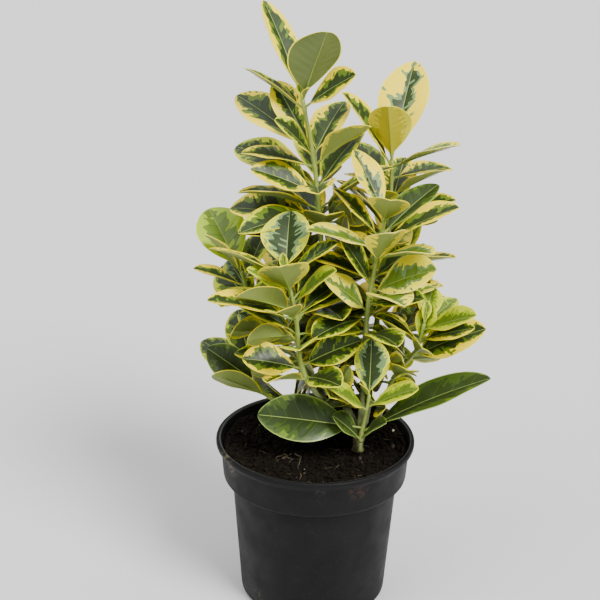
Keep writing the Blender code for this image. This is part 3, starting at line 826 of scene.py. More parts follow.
def mesh_object(name, grid, materials, slots=None, sharp=None):
    """A smooth mesh piece from a grid: points in millimetres, quads and triangles as indices."""
    points, quads, triangles = grid
    corners = np.concatenate([quads.ravel(), triangles.ravel()])
    starts = np.concatenate([np.arange(len(quads)) * 4, quads.size + np.arange(len(triangles)) * 3])
    mesh = bpy.data.meshes.new(name)
    mesh.vertices.add(len(points))
    mesh.vertices.foreach_set("co", np.ascontiguousarray(points * MM, np.float32).ravel())
    mesh.loops.add(len(corners))
    mesh.loops.foreach_set("vertex_index", corners.astype(np.int32))
    mesh.polygons.add(len(starts))
    mesh.polygons.foreach_set("loop_start", starts.astype(np.int32))
    if slots is not None:
        mesh.polygons.foreach_set("material_index", slots.astype(np.int32))
    mesh.update(calc_edges=True)
    mesh.shade_smooth()
    if sharp is not None:
        ends = np.empty(len(mesh.edges) * 2, np.int32)
        mesh.edges.foreach_get("vertices", ends)
        mark = mesh.attributes.new("sharp_edge", "BOOLEAN", "EDGE")
        mark.data.foreach_set("value", sharp(ends.reshape(-1, 2)))
    for material in materials:
        mesh.materials.append(material)
    made = bpy.data.objects.new(name, mesh)
    bpy.context.scene.collection.objects.link(made)
    return made


def stand_for(piece, slot, *nodes):
    """The piece rides on the body and stands for the nodes."""
    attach(piece, BODY)
    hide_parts(*nodes)


def ring_angles(sides):
    """The angles of a ring's points."""
    return np.linspace(0.0, 2 * np.pi, sides, endpoint=False)


def closed_grid(rings, start, end):
    """Rings of points joined to one another, and closed by a fan round a centre at either end."""
    count, sides = rings.shape[:2]
    last = count * sides
    k = np.arange(sides)
    n = (k + 1) % sides
    first_fan = np.stack([np.full(sides, last), k, n], 1)
    last_fan = np.stack([np.full(sides, last + 1), last - sides + n, last - sides + k], 1)
    points = np.vstack([rings.reshape(-1, 3), start, end])
    return points, ring_quads(count, sides)[:, OVER], np.vstack([first_fan, last_fan])


def tube_grid(points, radii, sides, relief=1.0):
    """A profile carried along a path: each ring lies in the plane across the path's heading.

    Point = centre + radius * relief * (cos(angle) * side + sin(angle) * other), and both ends
    close on their own centres.
    """
    heading = np.gradient(points, axis=0)
    heading /= np.linalg.norm(heading, axis=1, keepdims=True)
    side = np.cross(heading, np.array([0.0, 1.0, 0.0]))
    side /= np.linalg.norm(side, axis=1, keepdims=True)
    other = np.cross(heading, side)
    angle = ring_angles(sides)[:, None]
    reach = np.broadcast_to(np.asarray(radii)[:, None] * relief, (len(points), sides))[..., None]
    around = np.cos(angle) * side[:, None] + np.sin(angle) * other[:, None]
    grid, quads, triangles = closed_grid(points[:, None] + reach * around, points[0], points[-1])
    return grid, quads[:, ::-1], triangles[:, ::-1]


def join_grids(parts):
    """Several grids as one, with the indices moved on."""
    used = np.cumsum([0] + [len(points) for points, _, _ in parts])
    return (np.vstack([points for points, _, _ in parts]),
            np.vstack([quads + start for (_, quads, _), start in zip(parts, used)]),
            np.vstack([triangles + start for (_, _, triangles), start in zip(parts, used)]))


def repeated(faces, count, step):
    """The faces of one body for each of count bodies, whose points follow on by the step."""
    return (faces[None] + (np.arange(count) * step)[:, None, None]).reshape(-1, faces.shape[1])


def value_noise(x, y, seed):
    """Smooth noise from 0 to 1: random values at whole numbers, blended by a cubic step."""
    xi, yi = np.floor(x), np.floor(y)
    u, v = x - xi, y - yi
    u, v = u * u * (3 - 2 * u), v * v * (3 - 2 * v)

    def corner(i, j):
        shaken = np.sin((xi + i) * 127.1 + (yi + j) * 311.7 + seed * 74.7) * 43758.5453
        return shaken - np.floor(shaken)

    low = corner(0, 0) * (1 - u) + corner(1, 0) * u
    high = corner(0, 1) * (1 - u) + corner(1, 1) * u
    return low * (1 - v) + high * v


# Materials


def node_of(tree, kind, inputs=(), **settings):
    """A new node with its settings, then the values of its inputs."""
    made = tree.nodes.new(kind)
    for key, value in settings.items():
        setattr(made, key, value)
    for key, value in dict(inputs).items():
        made.inputs[key].default_value = value
    return made


def wire(tree, *joins):
    """Links nodes. Each join is a node and its output, then a node and its input."""
    for source, output, target, entry in joins:
        tree.links.new(source.outputs[output], target.inputs[entry])


def new_group(name, inputs, outputs):
    """A node group with its sockets, and its input, output and coordinate nodes. An input whose
    value is None is a vector, and so is an output called Normal."""
    group = bpy.data.node_groups.new(name, "ShaderNodeTree")
    for label, value in inputs.items():
        kind = "NodeSocketVector" if value is None else "NodeSocketFloat"
        socket = group.interface.new_socket(label, in_out="INPUT", socket_type=kind)
        if value is not None:
            socket.default_value = value
    for label in outputs:
        kind = "NodeSocketVector" if label == "Normal" else "NodeSocketFloat"
        group.interface.new_socket(label, in_out="OUTPUT", socket_type=kind)
    enter, leave = node_of(group, "NodeGroupInput"), node_of(group, "NodeGroupOutput")
    return group, enter, leave, node_of(group, "ShaderNodeTexCoord")


def finish_group(name):
    """Surface finish: noise on Object coordinates gives a roughness and a bumped normal.

    Roughness = low + (high - low) * noise at Scale; the height of the bump is noise at Grain.
    """
    inputs = {"Scale": 60.0, "Grain": 900.0, "Low": 0.35, "High": 0.5, "Bump": 0.1, "Depth": 0.0004}
    group, enter, leave, where = new_group(name, inputs, ("Roughness", "Normal"))
    broad, fine = node_of(group, "ShaderNodeTexNoise"), node_of(group, "ShaderNodeTexNoise")
    level = node_of(group, "ShaderNodeMapRange", {"From Min": 0.3, "From Max": 0.7})
    bump = node_of(group, "ShaderNodeBump")
    wire(
        group,
        (where, "Object", broad, "Vector"), (enter, "Scale", broad, "Scale"),
        (where, "Object", fine, "Vector"), (enter, "Grain", fine, "Scale"),
        (broad, "Fac", level, "Value"), (enter, "Low", level, "To Min"),
        (enter, "High", level, "To Max"), (level, "Result", leave, "Roughness"),
        (fine, "Fac", bump, "Height"), (enter, "Bump", bump, "Strength"),
        (enter, "Depth", bump, "Distance"), (bump, "Normal", leave, "Normal"),
    )
    return group


def dust_group(name):
    """Mask of dried dirt: a soft ball at Centre, broken up by noise.

    Mask = smooth(1 - |p - Centre| / Radius) * (noise at Scale, from Low to High).
    """
    inputs = {"Centre": None, "Radius": 0.01, "Scale": 500.0, "Low": 0.45, "High": 0.7}
    group, enter, leave, where = new_group(name, inputs, ("Mask",))
    away = node_of(group, "ShaderNodeVectorMath", operation="DISTANCE")
    share = node_of(group, "ShaderNodeMath", operation="DIVIDE")
    ball = node_of(group, "ShaderNodeMapRange", {"From Min": 1.0, "From Max": 0.3},
                   interpolation_type="SMOOTHSTEP")
    noise = node_of(group, "ShaderNodeTexNoise", {"Detail": 5.0})
    broken = node_of(group, "ShaderNodeMapRange")
    both = node_of(group, "ShaderNodeMath", operation="MULTIPLY")
    wire(
        group,
        (where, "Object", away, 0), (enter, "Centre", away, 1),
        (away, "Value", share, 0), (enter, "Radius", share, 1), (share, "Value", ball, "Value"),
        (where, "Object", noise, "Vector"), (enter, "Scale", noise, "Scale"),
        (noise, "Fac", broken, "Value"), (enter, "Low", broken, "From Min"),
        (enter, "High", broken, "From Max"), (ball, "Result", both, 0),
        (broken, "Result", both, 1), (both, "Value", leave, "Mask"),
    )
    return group


def highlight_ring_group(name):
    """Mask of a painted highlight ring: 1 within Width of the Radius from Z, above Base."""
    group, enter, leave, where = new_group(
        name, {"Radius": 0.0567, "Width": 0.0005, "Base": 0.0985}, ("Mask",))
    flat = node_of(group, "ShaderNodeVectorMath", {1: (1.0, 1.0, 0.0)}, operation="MULTIPLY")
    reach = node_of(group, "ShaderNodeVectorMath", operation="LENGTH")
    near = node_of(group, "ShaderNodeMath", operation="COMPARE")
    split = node_of(group, "ShaderNodeSeparateXYZ")
    high = node_of(group, "ShaderNodeMath", operation="GREATER_THAN")
    both = node_of(group, "ShaderNodeMath", operation="MULTIPLY")
    wire(
        group,
        (where, "Object", flat, 0), (flat, "Vector", reach, 0), (reach, "Value", near, 0),
        (enter, "Radius", near, 1), (enter, "Width", near, 2), (where, "Object", split, "Vector"),
        (split, "Z", high, 0), (enter, "Base", high, 1), (near, "Value", both, 0),
        (high, "Value", both, 1), (both, "Value", leave, "Mask"),
    )
    return group


SHARED = {"Surface finish": finish_group, "Dust patch": dust_group, "Rubbed ring": highlight_ring_group}


def shared_node(tree, name, inputs):
    """A node of the shared group of this name, which is made on first use."""
    group = bpy.data.node_groups.get(name) or SHARED[name](name)
    return node_of(tree, "ShaderNodeGroup", inputs, node_tree=group)


def finished_material(name, colour, specular=0.5, **finish):
    """A Principled material with a plain base colour, its roughness and bump from the group."""
    made = bpy.data.materials.new(name)
    made.use_nodes = True
    shader = made.node_tree.nodes["Principled BSDF"]
    shader.inputs["Base Color"].default_value = (*colour, 1.0)
    shader.inputs["Specular IOR Level"].default_value = specular
    group = shared_node(made.node_tree, "Surface finish", finish)
    wire(made.node_tree, (group, "Roughness", shader, "Roughness"),
         (group, "Normal", shader, "Normal"))
    return made


def lay_colour(material, colour, mask, output):
    """Lays a colour over the material's base colour where the mask is."""
    tree = material.node_tree
    shader = tree.nodes["Principled BSDF"]
    base = shader.inputs["Base Color"]
    mix = node_of(tree, "ShaderNodeMix", {"A": base.default_value, "B": (*colour, 1.0)},
                  data_type="RGBA")
    if base.links:
        tree.links.new(base.links[0].from_socket, mix.inputs["A"])
    wire(tree, (mask, output, mix, "Factor"), (mix, "Result", shader, "Base Color"))


def speckled_material(name, base, patch, scale, low, high, **finish):
    """A base colour with patches of a second one where noise passes from low to high."""
    made = finished_material(name, base, **finish)
    tree = made.node_tree
    where = node_of(tree, "ShaderNodeTexCoord")
    noise = node_of(tree, "ShaderNodeTexNoise", {"Scale": scale, "Detail": 6.0, "Roughness": 0.65})
    ramp = node_of(tree, "ShaderNodeMapRange", {"From Min": low, "From Max": high})
    wire(tree, (where, "Object", noise, "Vector"), (noise, "Fac", ramp, "Value"))
    lay_colour(made, patch, ramp, "Result")
    return made


def leaf_materials(looks):
    """One plain colour for each tone, with the leathery finish of the blade."""
    finish = {"Scale": 140.0, "Grain": 1500.0, "Low": looks.roughness - 0.06,
              "High": looks.roughness + 0.12, "Bump": 0.12, "Depth": 0.0003}
    return [bpy.data.materials.get(f"leaf {name}")
            or finished_material(f"leaf {name}", linear(code), specular=0.35, **finish)
            for name, code in TONES.items()]


# Leaves

# Places across one half of a blade, and points round a ring of a whole blade, above and below
COLUMNS = 8
RING = 2 * (2 * COLUMNS + 1)


def wave(u, phase, turns):
    """A sine along the blade for each leaf and side, with its own phase."""
    return np.sin(2 * np.pi * (turns * u + phase))


def blade_columns(u, half, margin, chance):
    """Places across a blade, as shares of the half width, for each leaf, side and row.

    From the midrib out they are: midrib edge, mid centre, inner border, mid splash, margin border,
    mid margin, rim line and edge. The borders wander by sums of sines with random phases, so the
    coloured zones have smooth irregular outlines that follow the rows.
    """
    leaves, rows = u.shape
    phases = chance.random((6, leaves, 2, 1))
    along = u[:, None]
    wander = (0.36 * wave(along, phases[0], 1.3) + 0.22 * wave(along, phases[1], 3.1)
              + 0.12 * wave(along, phases[2], 7.7) + 0.10 * (chance.random((leaves, 2, rows)) - 0.5))
    share = margin[:, None, None] * (1.0 + wander) * (0.75 + 0.5 * along**2)
    border = 1.0 - np.clip(share, 0.05, 0.86)
    rib = np.clip(0.27 / half, 0.015, 0.30)[:, None] * (1.1 - 0.6 * along)
    inner = border * (0.62 + 0.18 * wave(along, phases[3], 2.4) + 0.12 * wave(along, phases[4], 7.1))
    inner = np.clip(inner, rib + 0.03, border - 0.02)
    border = np.maximum(border, inner + 0.02)
    rim = 1.0 - np.clip(0.40 / half, 0.03, 0.30)[:, None]
    rim = np.minimum(np.maximum(rim, border + 0.01), 0.985)
    border = np.minimum(border, rim - 0.01)
    rib, rim = np.broadcast_to(rib, border.shape), np.broadcast_to(rim, border.shape)
    return np.stack([rib, 0.5 * (rib + inner), inner, 0.5 * (inner + border), border,
                     0.5 * (border + rim), rim, np.ones_like(rim)], -1)


def blade_tones(styles, chance, rows):
    """The tone of every face of every ring, above and below: zones by column, with rows of splash
    let into the next zone and a few spots, dealt at random by leaf."""
    shape = (len(styles), 2, rows)

    def of_style(key):
        values = np.array([getattr(style, key) for style in styles])
        if values.dtype.kind == "U":
            values = np.array([TONE_NAMES.index(name) for name in values])
        return np.broadcast_to(values[:, None, None], shape)

    luck = chance.random((6, *shape))
    luck[:3] = 0.5 * luck[:3] + 0.5 * np.roll(luck[:3], 1, axis=-1)
    spots, splash, edge, rim = (of_style(key) for key in ("spots", "splash", "edge", "rim"))
    rib = np.full(shape, TONE_NAMES.index("rib"))
    is_vein = (np.arange(rows) % VEIN_ROWS == 0) & (np.arange(rows) > 2)
    centre = np.where(is_vein, of_style("vein"), of_style("centre"))
    upper = np.stack([
        rib,
        np.where(luck[3] < spots, splash, centre),
        np.where(luck[0] > 0.80, splash, centre),
        np.where(luck[1] > 0.70, centre, splash),
        np.where(luck[2] > 0.66, edge, splash),
        np.where(luck[1] < 0.22, splash, edge),
        np.where(luck[4] < spots, splash, edge),
        rim,
    ], -1)
    under, under_edge = of_style("under"), of_style("under_edge")
    thin = of_style("margin") < THIN_MARGIN
    lower = np.stack([rib, under, under, under, under,
                      np.where(thin | (luck[5] < 0.35), under, under_edge),
                      np.where(thin, under, under_edge), rim], -1)
    return upper, lower


def on_stems(leaves, points):
    """Carries the points of each leaf from its own frame onto its stem."""
    matrices = np.array([leaf.matrix for leaf in leaves])
    return np.einsum("nij,nrkj->nrki", matrices[:, :3, :3], points) + matrices[:, None, None, :3, 3]


def blade_arrays(leaves, looks, seed):
    """Every blade of one shoot at once, as closed rings of points and the tone of each face.

    A point's share along the blade is u = s + slant * 4s(1-s) * |t|, so that the rows run forward
    from the midrib as side veins do, and its place across is t * half(u). Its height is
    half * (crease * |t| - 0.10 * |t|^3 + ripple * sin(..) * |t|^3) plus a quilting between the
    veins; then the midrib's arc carries it, and the leaf's matrix puts it on its stem.
    """
    chance = np.random.default_rng(seed)
    rows = looks.rows + 1
    count = len(leaves)
    styles = [STYLES[leaf.style] for leaf in leaves]
    length, width, droop = (np.array([getattr(leaf, key) for leaf in leaves])[:, None, None]
                            for key in ("length", "width", "droop"))
    margin = np.array([style.margin for style in styles]) * chance.uniform(0.85, 1.15, count)
    skew = 1.15 + chance.uniform(-0.10, 0.16, (count, 1))
    steps = np.where(np.arange(rows - 1) % VEIN_ROWS == 0, VEIN_WIDTH, 1.0)
    s = np.concatenate([[0.0], np.cumsum(steps) / steps.sum()])
    s = np.broadcast_to(s, (count, rows))
    half = np.maximum(0.5 * width[..., 0] * blade_half_width(s, skew, BLUNTNESS), 0.55)
    columns = blade_columns(s, half, margin, chance)
    across = np.concatenate(
        [columns[:, 0, :, ::-1], np.zeros((count, rows, 1)), -columns[:, 1]], -1)
    size = np.abs(across)
    s = s[..., None]
    u = s + SLANT * 4.0 * s * (1.0 - s) * size
    half = 0.5 * width * blade_half_width(u, skew[..., None], BLUNTNESS)
    teeth = 1.0 + 0.012 * np.abs(np.sin(np.pi * 13.0 * u)) * (size > 0.99)
    half = np.maximum(half * teeth, 0.50 * (1.0 - u) + 0.12)
    petiole = length * PETIOLE_SHARE
    x = petiole + u * (length - petiole)
    phase = chance.random((2, count, 1, 1))
    lift = np.where(across > 0, wave(u, phase[0], 1.4), wave(u, phase[1], 1.7))
    ripple = looks.ripple * lift * size**3 * np.sin(np.pi * u)
    veins = 0.009 * half * np.cos(2 * np.pi * 9.0 * s) * size * (1.0 - size) * 4.0
    groove = 0.35 * np.exp(-((size * half / 0.5) ** 2)) * (1.0 - u)
    raised = half * (CREASE * size - 0.10 * size**3 + ripple) + veins - groove
    thick = 0.5 * looks.thickness / MM * (1.0 - 0.55 * size**4)
    twist = np.radians(chance.uniform(-MOST_TWIST, MOST_TWIST, (count, 1, 1))) * u**2

    def carried(height):
        y = across * half * np.cos(twist) - height * np.sin(twist)
        z = across * half * np.sin(twist) + height * np.cos(twist)
        return on_arc(x, length, droop, y, z)

    rings = np.concatenate([carried(raised + thick), carried(raised - thick)[:, :, ::-1]], 2)
    upper, lower = blade_tones(styles, chance, rows)
    tones = np.concatenate([
        upper[:, 0, :, ::-1], upper[:, 1], upper[:, 1, :, -1:],
        lower[:, 1, :, ::-1], lower[:, 0], upper[:, 0, :, -1:],
    ], -1)
    return on_stems(leaves, rings), tones[:, :-1]


def blade_faces(count, rows):
    """Quads round every ring of every blade, then the strips that close its root and its tip."""
    c = np.arange(RING // 2 - 1)
    root = np.stack([c, RING - 1 - c, RING - 2 - c, c + 1], 1)
    tip = root[:, ::-1] + (rows - 1) * RING
    return repeated(np.vstack([ring_quads(rows, RING), root, tip]), count, rows * RING)


def petiole_arrays(leaves, looks, sides=6, rings=14):
    """Stalks: a tube from inside the stem to the blade, which goes on under it as the midrib.

    Radius = 0.72 mm at the stem, falling to 0.13 mm at four fifths of the blade.
    """
    t = np.linspace(0.0, 1.0, rings)[:, None]
    length, droop = (np.array([getattr(leaf, key) for leaf in leaves])[:, None, None]
                     for key in ("length", "droop"))
    end = length * (PETIOLE_SHARE + 0.82 * (1.0 - PETIOLE_SHARE))
    x = -ROOT_DEPTH + t * (end + ROOT_DEPTH)
    under = np.clip((x / length - PETIOLE_SHARE) / 0.06, 0.0, 1.0)
    radius = 0.72 * (1.0 - 0.35 * under) * (1.0 - 0.72 * np.clip(x / end, 0, 1) ** 1.5)
    drop = under * (0.42 + 0.5 * looks.thickness / MM)
    angle = ring_angles(sides)
    points = on_arc(x, length, droop, -radius * np.cos(angle), -drop + radius * np.sin(angle))
    root = np.array([[0, 1, 4, 5], [1, 2, 3, 4]])
    ends = np.vstack([root, root[:, ::-1] + (rings - 1) * sides])
    quads = np.vstack([repeated(part, len(leaves), rings * sides)
                       for part in (ring_quads(rings, sides)[:, OVER], ends)])
    return on_stems(leaves, points).reshape(-1, 3), quads


def make_leaves(shoot, plant, looks):
    """All leaves of one shoot as one piece, with one slot for each tone."""
    leaves = plant.leaves[shoot.name] + plant.leaves[f"{shoot.name} twigs"]
    rings, tones = blade_arrays(leaves, looks, shoot.seed + 300)
    count, rows = rings.shape[:2]
    stalks, stalk_quads = petiole_arrays(leaves, looks)
    points = np.vstack([rings.reshape(-1, 3), stalks])
    quads = np.vstack([blade_faces(count, rows), stalk_quads + count * rows * RING])
    caps = np.full((count, 2 * (RING // 2 - 1)), TONE_NAMES.index("rib"))
    slots = np.concatenate([np.concatenate([tones.reshape(count, -1), caps], 1).ravel(),
                            np.full(len(stalk_quads), TONE_NAMES.index("stalk"))])
    edge_places = np.array([0, RING // 2 - 1, RING // 2, RING - 1])
    ring_place = np.concatenate([np.tile(np.arange(RING), count * rows), np.full(len(stalks), -1)])

    def sharp(ends):
        first, second = ring_place[ends[:, 0]], ring_place[ends[:, 1]]
        return (first == second) & np.isin(first, edge_places)

    piece = mesh_object(f"foliage_{shoot.name}", (points, quads, NO_TRIANGLES), leaf_materials(looks),
                        slots, sharp)
    stand_for(piece, "leaf", f"leaves_{shoot.name}")


# Stems


def stem_parts(shoot, plant, sides=12):
    """The green upper stem of one mass: a slightly four-sided tube that swells at each pair."""
    stem = plant.stems[shoot.name]
    along = np.arange(plant.starts[shoot.name] + GAP, stem.length + STEM_END, STEM_STEP)
    nodes = stem.length - np.array([leaf.below for leaf in plant.leaves[shoot.name]])
    swell = np.exp(-(((along[:, None] - nodes[None]) / SWELL_WIDTH) ** 2)).max(axis=1)
    taper = np.clip((stem.length + 1.4 - along) / 2.0, 0.35, 1.0)
    radii = (stem.radius_at(along) + SWELL * swell) * taper
    return tube_grid(stem.at(along), radii, sides, 1.0 + 0.07 * np.cos(4 * ring_angles(sides))[None])


def bough_parts(shoot, plant, sides=24):
    """A bare bough with bark relief: fine ridges along it, and a raised scar ring at old nodes."""
    stem = plant.stems[shoot.name]
    along = np.arange(0.0, plant.starts[shoot.name], BARK_STEP)
    ridges = value_noise(ring_angles(sides)[None] * 3.0 + 7.0, along[:, None] * 0.35, shoot.seed)
    scars = np.exp(-(((along % SCAR_SPACING) - 0.5 * SCAR_SPACING) / SCAR_WIDTH) ** 2)[:, None]
    relief = 0.97 + 0.10 * ridges + 0.14 * scars
    return tube_grid(stem.at(along), stem.radius_at(along), sides, relief)


def foot_parts(sides=40):
    """The woody foot, with deeper bark than the boughs."""
    points, radii = foot_profile(40)
    angle, height = ring_angles(sides)[None], points[:, 2:3]
    bark = 0.6 * value_noise(angle * 4.0, height * 0.5, 3)
    bark = bark + 0.4 * value_noise(angle * 9.0, height * 1.3, 5)
    return tube_grid(points, radii, sides, 0.82 + 0.16 * bark)


# Pot

# Dried dirt on the plastic: centre, radius and colour of each patch
DIRT = (
    ((25.0, -50.0, 94.0), 9.0, (0.038, 0.020, 0.013)),
    ((-52.0, -28.0, 98.0), 11.0, (0.120, 0.112, 0.060)),
    ((3.0, -58.0, 96.0), 4.0, (0.060, 0.058, 0.045)),
    ((-34.0, -30.0, 8.0), 9.0, (0.040, 0.036, 0.024)),
    ((-8.0, 56.0, 90.0), 16.0, (0.024, 0.021, 0.015)),
)


def rounded(profile, radii, steps=5):
    """The profile with each corner swapped for a curve that leaves and meets its two lines."""
    made = [profile[0]]
    for before, corner, after, radius in zip(profile, profile[1:], profile[2:], radii):
        back, on = np.subtract(before, corner), np.subtract(after, corner)
        first = np.array(corner) + back * min(radius / np.linalg.norm(back), 0.49)
        last = np.array(corner) + on * min(radius / np.linalg.norm(on), 0.49)
        t = np.linspace(0.0, 1.0, steps)[:, None]
        made.extend((1 - t) ** 2 * first + 2 * t * (1 - t) * np.array(corner) + t**2 * last)
    made.append(profile[-1])
    return np.array([tuple(p) for p in made])


def turned(radii, heights, steps):
    """Rings of points at the radii and heights round Z."""
    angle = ring_angles(steps)
    radii, heights = np.array(radii)[:, None], np.array(heights)[:, None]
    return np.stack([radii * np.cos(angle), radii * np.sin(angle),
                     np.broadcast_to(heights, (len(radii), steps))], -1)


def inner_radius(height):
    """Radius of the pot's inside wall at a height: the body's cone below, the collar above."""
    if height < COLLAR_FOOT_HEIGHT:
        share = (height - WALL) / (COLLAR_FOOT_HEIGHT - WALL)
        return BASE_RADIUS + (SHOULDER_RADIUS - BASE_RADIUS) * share - WALL
    share = (height - COLLAR_FOOT_HEIGHT) / (POT_HEIGHT - LIP_DEPTH - COLLAR_FOOT_HEIGHT)
    return COLLAR_FOOT_RADIUS + (COLLAR_TOP_RADIUS - COLLAR_FOOT_RADIUS) * share - WALL


def pot_profile():
    """Up the inside, over the lip, down the outside and across the base. Each corner has its radius,
    its height and how far its rounding reaches."""
    lip_low = POT_HEIGHT - LIP_DEPTH
    ledge = COLLAR_FOOT_HEIGHT + WALL
    corners = [
        (0.0, WALL, 0.0),
        (inner_radius(WALL), WALL, 2.0),
        (SHOULDER_RADIUS - WALL, ledge - 0.4, 1.2),
        (inner_radius(ledge), ledge, 1.2),
        (inner_radius(lip_low), lip_low, 1.0),
        (RIM_RADIUS - LIP_WIDTH, POT_HEIGHT - 0.6, 0.9),
        (RIM_RADIUS - LIP_WIDTH + 0.6, POT_HEIGHT, 0.5),
        (RIM_RADIUS, POT_HEIGHT, 1.8),
        (RIM_RADIUS, lip_low + 1.4, 2.0),
        (COLLAR_TOP_RADIUS + 0.1, lip_low - 0.8, 1.6),
        (COLLAR_FOOT_RADIUS, COLLAR_FOOT_HEIGHT, 2.4),
        (SHOULDER_RADIUS, COLLAR_FOOT_HEIGHT, 1.2),
        (BASE_RADIUS, 0.0, 3.2),
        (0.0, 0.0, 0.0),
    ]
    return rounded([corner[:2] for corner in corners], [corner[2] for corner in corners[1:-1]])


def bore_drains(pot):
    """Cuts the drain holes into the pot's mesh."""
    holes = bpy.data.collections.new("drain holes")
    for index in range(DRAIN_COUNT):
        place = direction(360.0 * index / DRAIN_COUNT, 0.0) * DRAIN_CIRCLE * MM
        bpy.ops.mesh.primitive_cylinder_add(
            vertices=24, radius=DRAIN_RADIUS * MM, depth=8 * WALL * MM, location=place)
        holes.objects.link(bpy.context.object)
    cut = pot.modifiers.new("Drain holes", "BOOLEAN")
    cut.operand_type = "COLLECTION"
    cut.collection = holes
    bpy.context.view_layer.update()
    graph = bpy.context.evaluated_depsgraph_get()
    bored = bpy.data.meshes.new_from_object(pot.evaluated_get(graph))
    pot.modifiers.clear()
    pot.data = bored
    for cutter in list(holes.objects):
        bpy.data.objects.remove(cutter, do_unlink=True)
    bpy.data.collections.remove(holes)


def make_pot(looks):
    """The shell with its lip and collar, its dried dirt and a painted highlight round its lip's inner
    edge.
    """
    profile = pot_profile()
    rings = turned(profile[1:-1, 0], profile[1:-1, 1], looks.steps)
    plastic = speckled_material(
        "pot plastic", looks.plastic, looks.dust, 700.0, 0.58, 0.80, specular=0.17,
        Scale=70.0, Grain=1100.0, Low=0.50, High=0.66, Bump=0.12, Depth=0.0003)
    for place, radius, colour in DIRT:
        patch = {"Centre": [v * MM for v in place], "Radius": radius * MM}
        lay_colour(plastic, colour, shared_node(plastic.node_tree, "Dust patch", patch), "Mask")
    # Painted highlight: a pale ring round the lip's inner edge stands in for the light that the lip's
    # top catches.
    ring = {"Radius": (RIM_RADIUS - LIP_WIDTH + 0.4) * MM, "Base": (POT_HEIGHT - 1.5) * MM}
    highlight_mask = shared_node(plastic.node_tree, "Rubbed ring", ring)
    lay_colour(plastic, (0.06, 0.06, 0.056), highlight_mask, "Mask")
    pot = mesh_object(
        "nursery_pot", closed_grid(rings, [0, 0, profile[0, 1]], [0, 0, profile[-1, 1]]), [plastic])
    bore_drains(pot)
    pot.data.set_sharp_from_angle(angle=math.radians(50))
    stand_for(pot, "pot_plastic", "pot")


# Peat

LUMP = np.array([
    (0, 0, 1), (0.894, 0, 0.447), (0.276, 0.851, 0.447), (-0.724, 0.526, 0.447),
    (-0.724, -0.526, 0.447), (0.276, -0.851, 0.447), (0.724, 0.526, -0.447), (-0.276, 0.851, -0.447),
    (-0.894, 0, -0.447), (-0.276, -0.851, -0.447), (0.724, -0.526, -0.447), (0, 0, -1)])
LUMP_FACES = np.array([
    (0, 1, 2), (0, 2, 3), (0, 3, 4), (0, 4, 5), (0, 5, 1), (1, 6, 2), (2, 7, 3), (3, 8, 4),
    (4, 9, 5), (5, 10, 1), (6, 7, 2), (7, 8, 3), (8, 9, 4), (9, 10, 5), (10, 6, 1), (11, 7, 6),
    (11, 8, 7), (11, 9, 8), (11, 10, 9), (11, 6, 10)])
# Steps round and out to the wall of the peat's surface, and the foot of the block
PEAT_STEPS = 220
PEAT_RINGS = 76
PEAT_FOOT = 1.7
# Bark chips, the first of which is the large one in front; pale grit by place and radius
CHIPS = 24
LARGE_CHIP = (47.0, -1.6, 2.6)
GRIT = ((48.0, 19.0, 1.3), (-6.1, -32.1, 0.7), (31.0, 34.0, 0.8))
# Root fibres in front by place, heading, length and radius; the others are strewn
ROOTS = (
    (-21.5, -20.0, 0.6, 12.0, 0.45), (-20.0, -14.0, 0.1, 11.0, 0.42),
    (-13.0, -12.0, -0.9, 15.0, 0.40), (-9.5, -18.0, -1.3, 15.0, 0.34),
    (-18.0, -13.0, -2.2, 10.0, 0.34), (-9.0, -37.0, -1.2, 8.0, 0.30),
)
STREWN_ROOTS = 30
ROOT_STEPS = 14


def soil_level(x, y):
    """Height of the peat: a shallow dish, lumps from three sizes of noise, a mound at the foot."""
    r = np.hypot(x, y)
    lumps = (2.2 * value_noise(x / 13.0 + 4, y / 13.0, 1) + 1.3 * value_noise(x / 4.5, y / 4.5 + 9, 2)
             + 0.9 * value_noise(x / 1.7 + 5, y / 1.7, 4)) - 2.6
    mound = 1.6 * np.exp(-((x - FOOT_X) ** 2 + (y - FOOT_Y) ** 2) / 90.0)
    wall = np.clip((r / inner_radius(SOIL_HEIGHT) - 0.82) / 0.18, 0.0, 1.0)
    return SOIL_HEIGHT - SOIL_DISH + lumps + mound + 2.0 * wall**2


def peat_grid(top):
    """The peat as a closed block with a lumpy top, which follows the pot's inside wall."""
    surface = turned(np.linspace(0.6, top - 0.2, PEAT_RINGS), np.zeros(PEAT_RINGS), PEAT_STEPS)
    surface[..., 2] = soil_level(surface[..., 0], surface[..., 1])
    radii = [inner_radius(86.0) - GAP, inner_radius(77.8) - GAP, SHOULDER_RADIUS - WALL - GAP,
             inner_radius(PEAT_FOOT) - GAP]
    rings = np.concatenate([surface, turned(radii, [86.0, 77.8, 76.6, PEAT_FOOT], PEAT_STEPS)])
    return closed_grid(rings, [0, 0, soil_level(0.0, 0.0)], [0, 0, PEAT_FOOT])


def scattered(count, chance, reach):
    """Random places on the peat within a radius, clear of the foot."""
    r = reach * np.sqrt(chance.random(count * 2))
    a = chance.uniform(0, 2 * np.pi, count * 2)
    x, y = r * np.cos(a), r * np.sin(a)
    clear = np.hypot(x - FOOT_X, y - FOOT_Y) > FOOT_FLARE_RADIUS + 0.8
    return x[clear][:count], y[clear][:count]


def strew_lumps(name, x, y, sizes, lift, material, chance):
    """Small twenty-faced lumps, each stretched, shaken and turned at random, lifted off the peat."""
    count = len(x)
    shaken = LUMP[None] * chance.uniform(0.65, 1.25, (count, len(LUMP), 1))
    shaken = shaken * chance.uniform(0.6, 1.3, (count, 1, 3)) * sizes[:, None, None]
    frames, _ = np.linalg.qr(chance.normal(size=(count, 3, 3)))
    frames *= np.sign(np.linalg.det(frames))[:, None, None]
    places = np.column_stack([x, y, soil_level(x, y) + lift])
    points = np.einsum("nij,nkj->nki", frames, shaken) + places[:, None]
    grid = (points.reshape(-1, 3), NO_QUADS, repeated(LUMP_FACES, count, len(LUMP)))
    stand_for(mesh_object(name, grid, [material]), "peat")


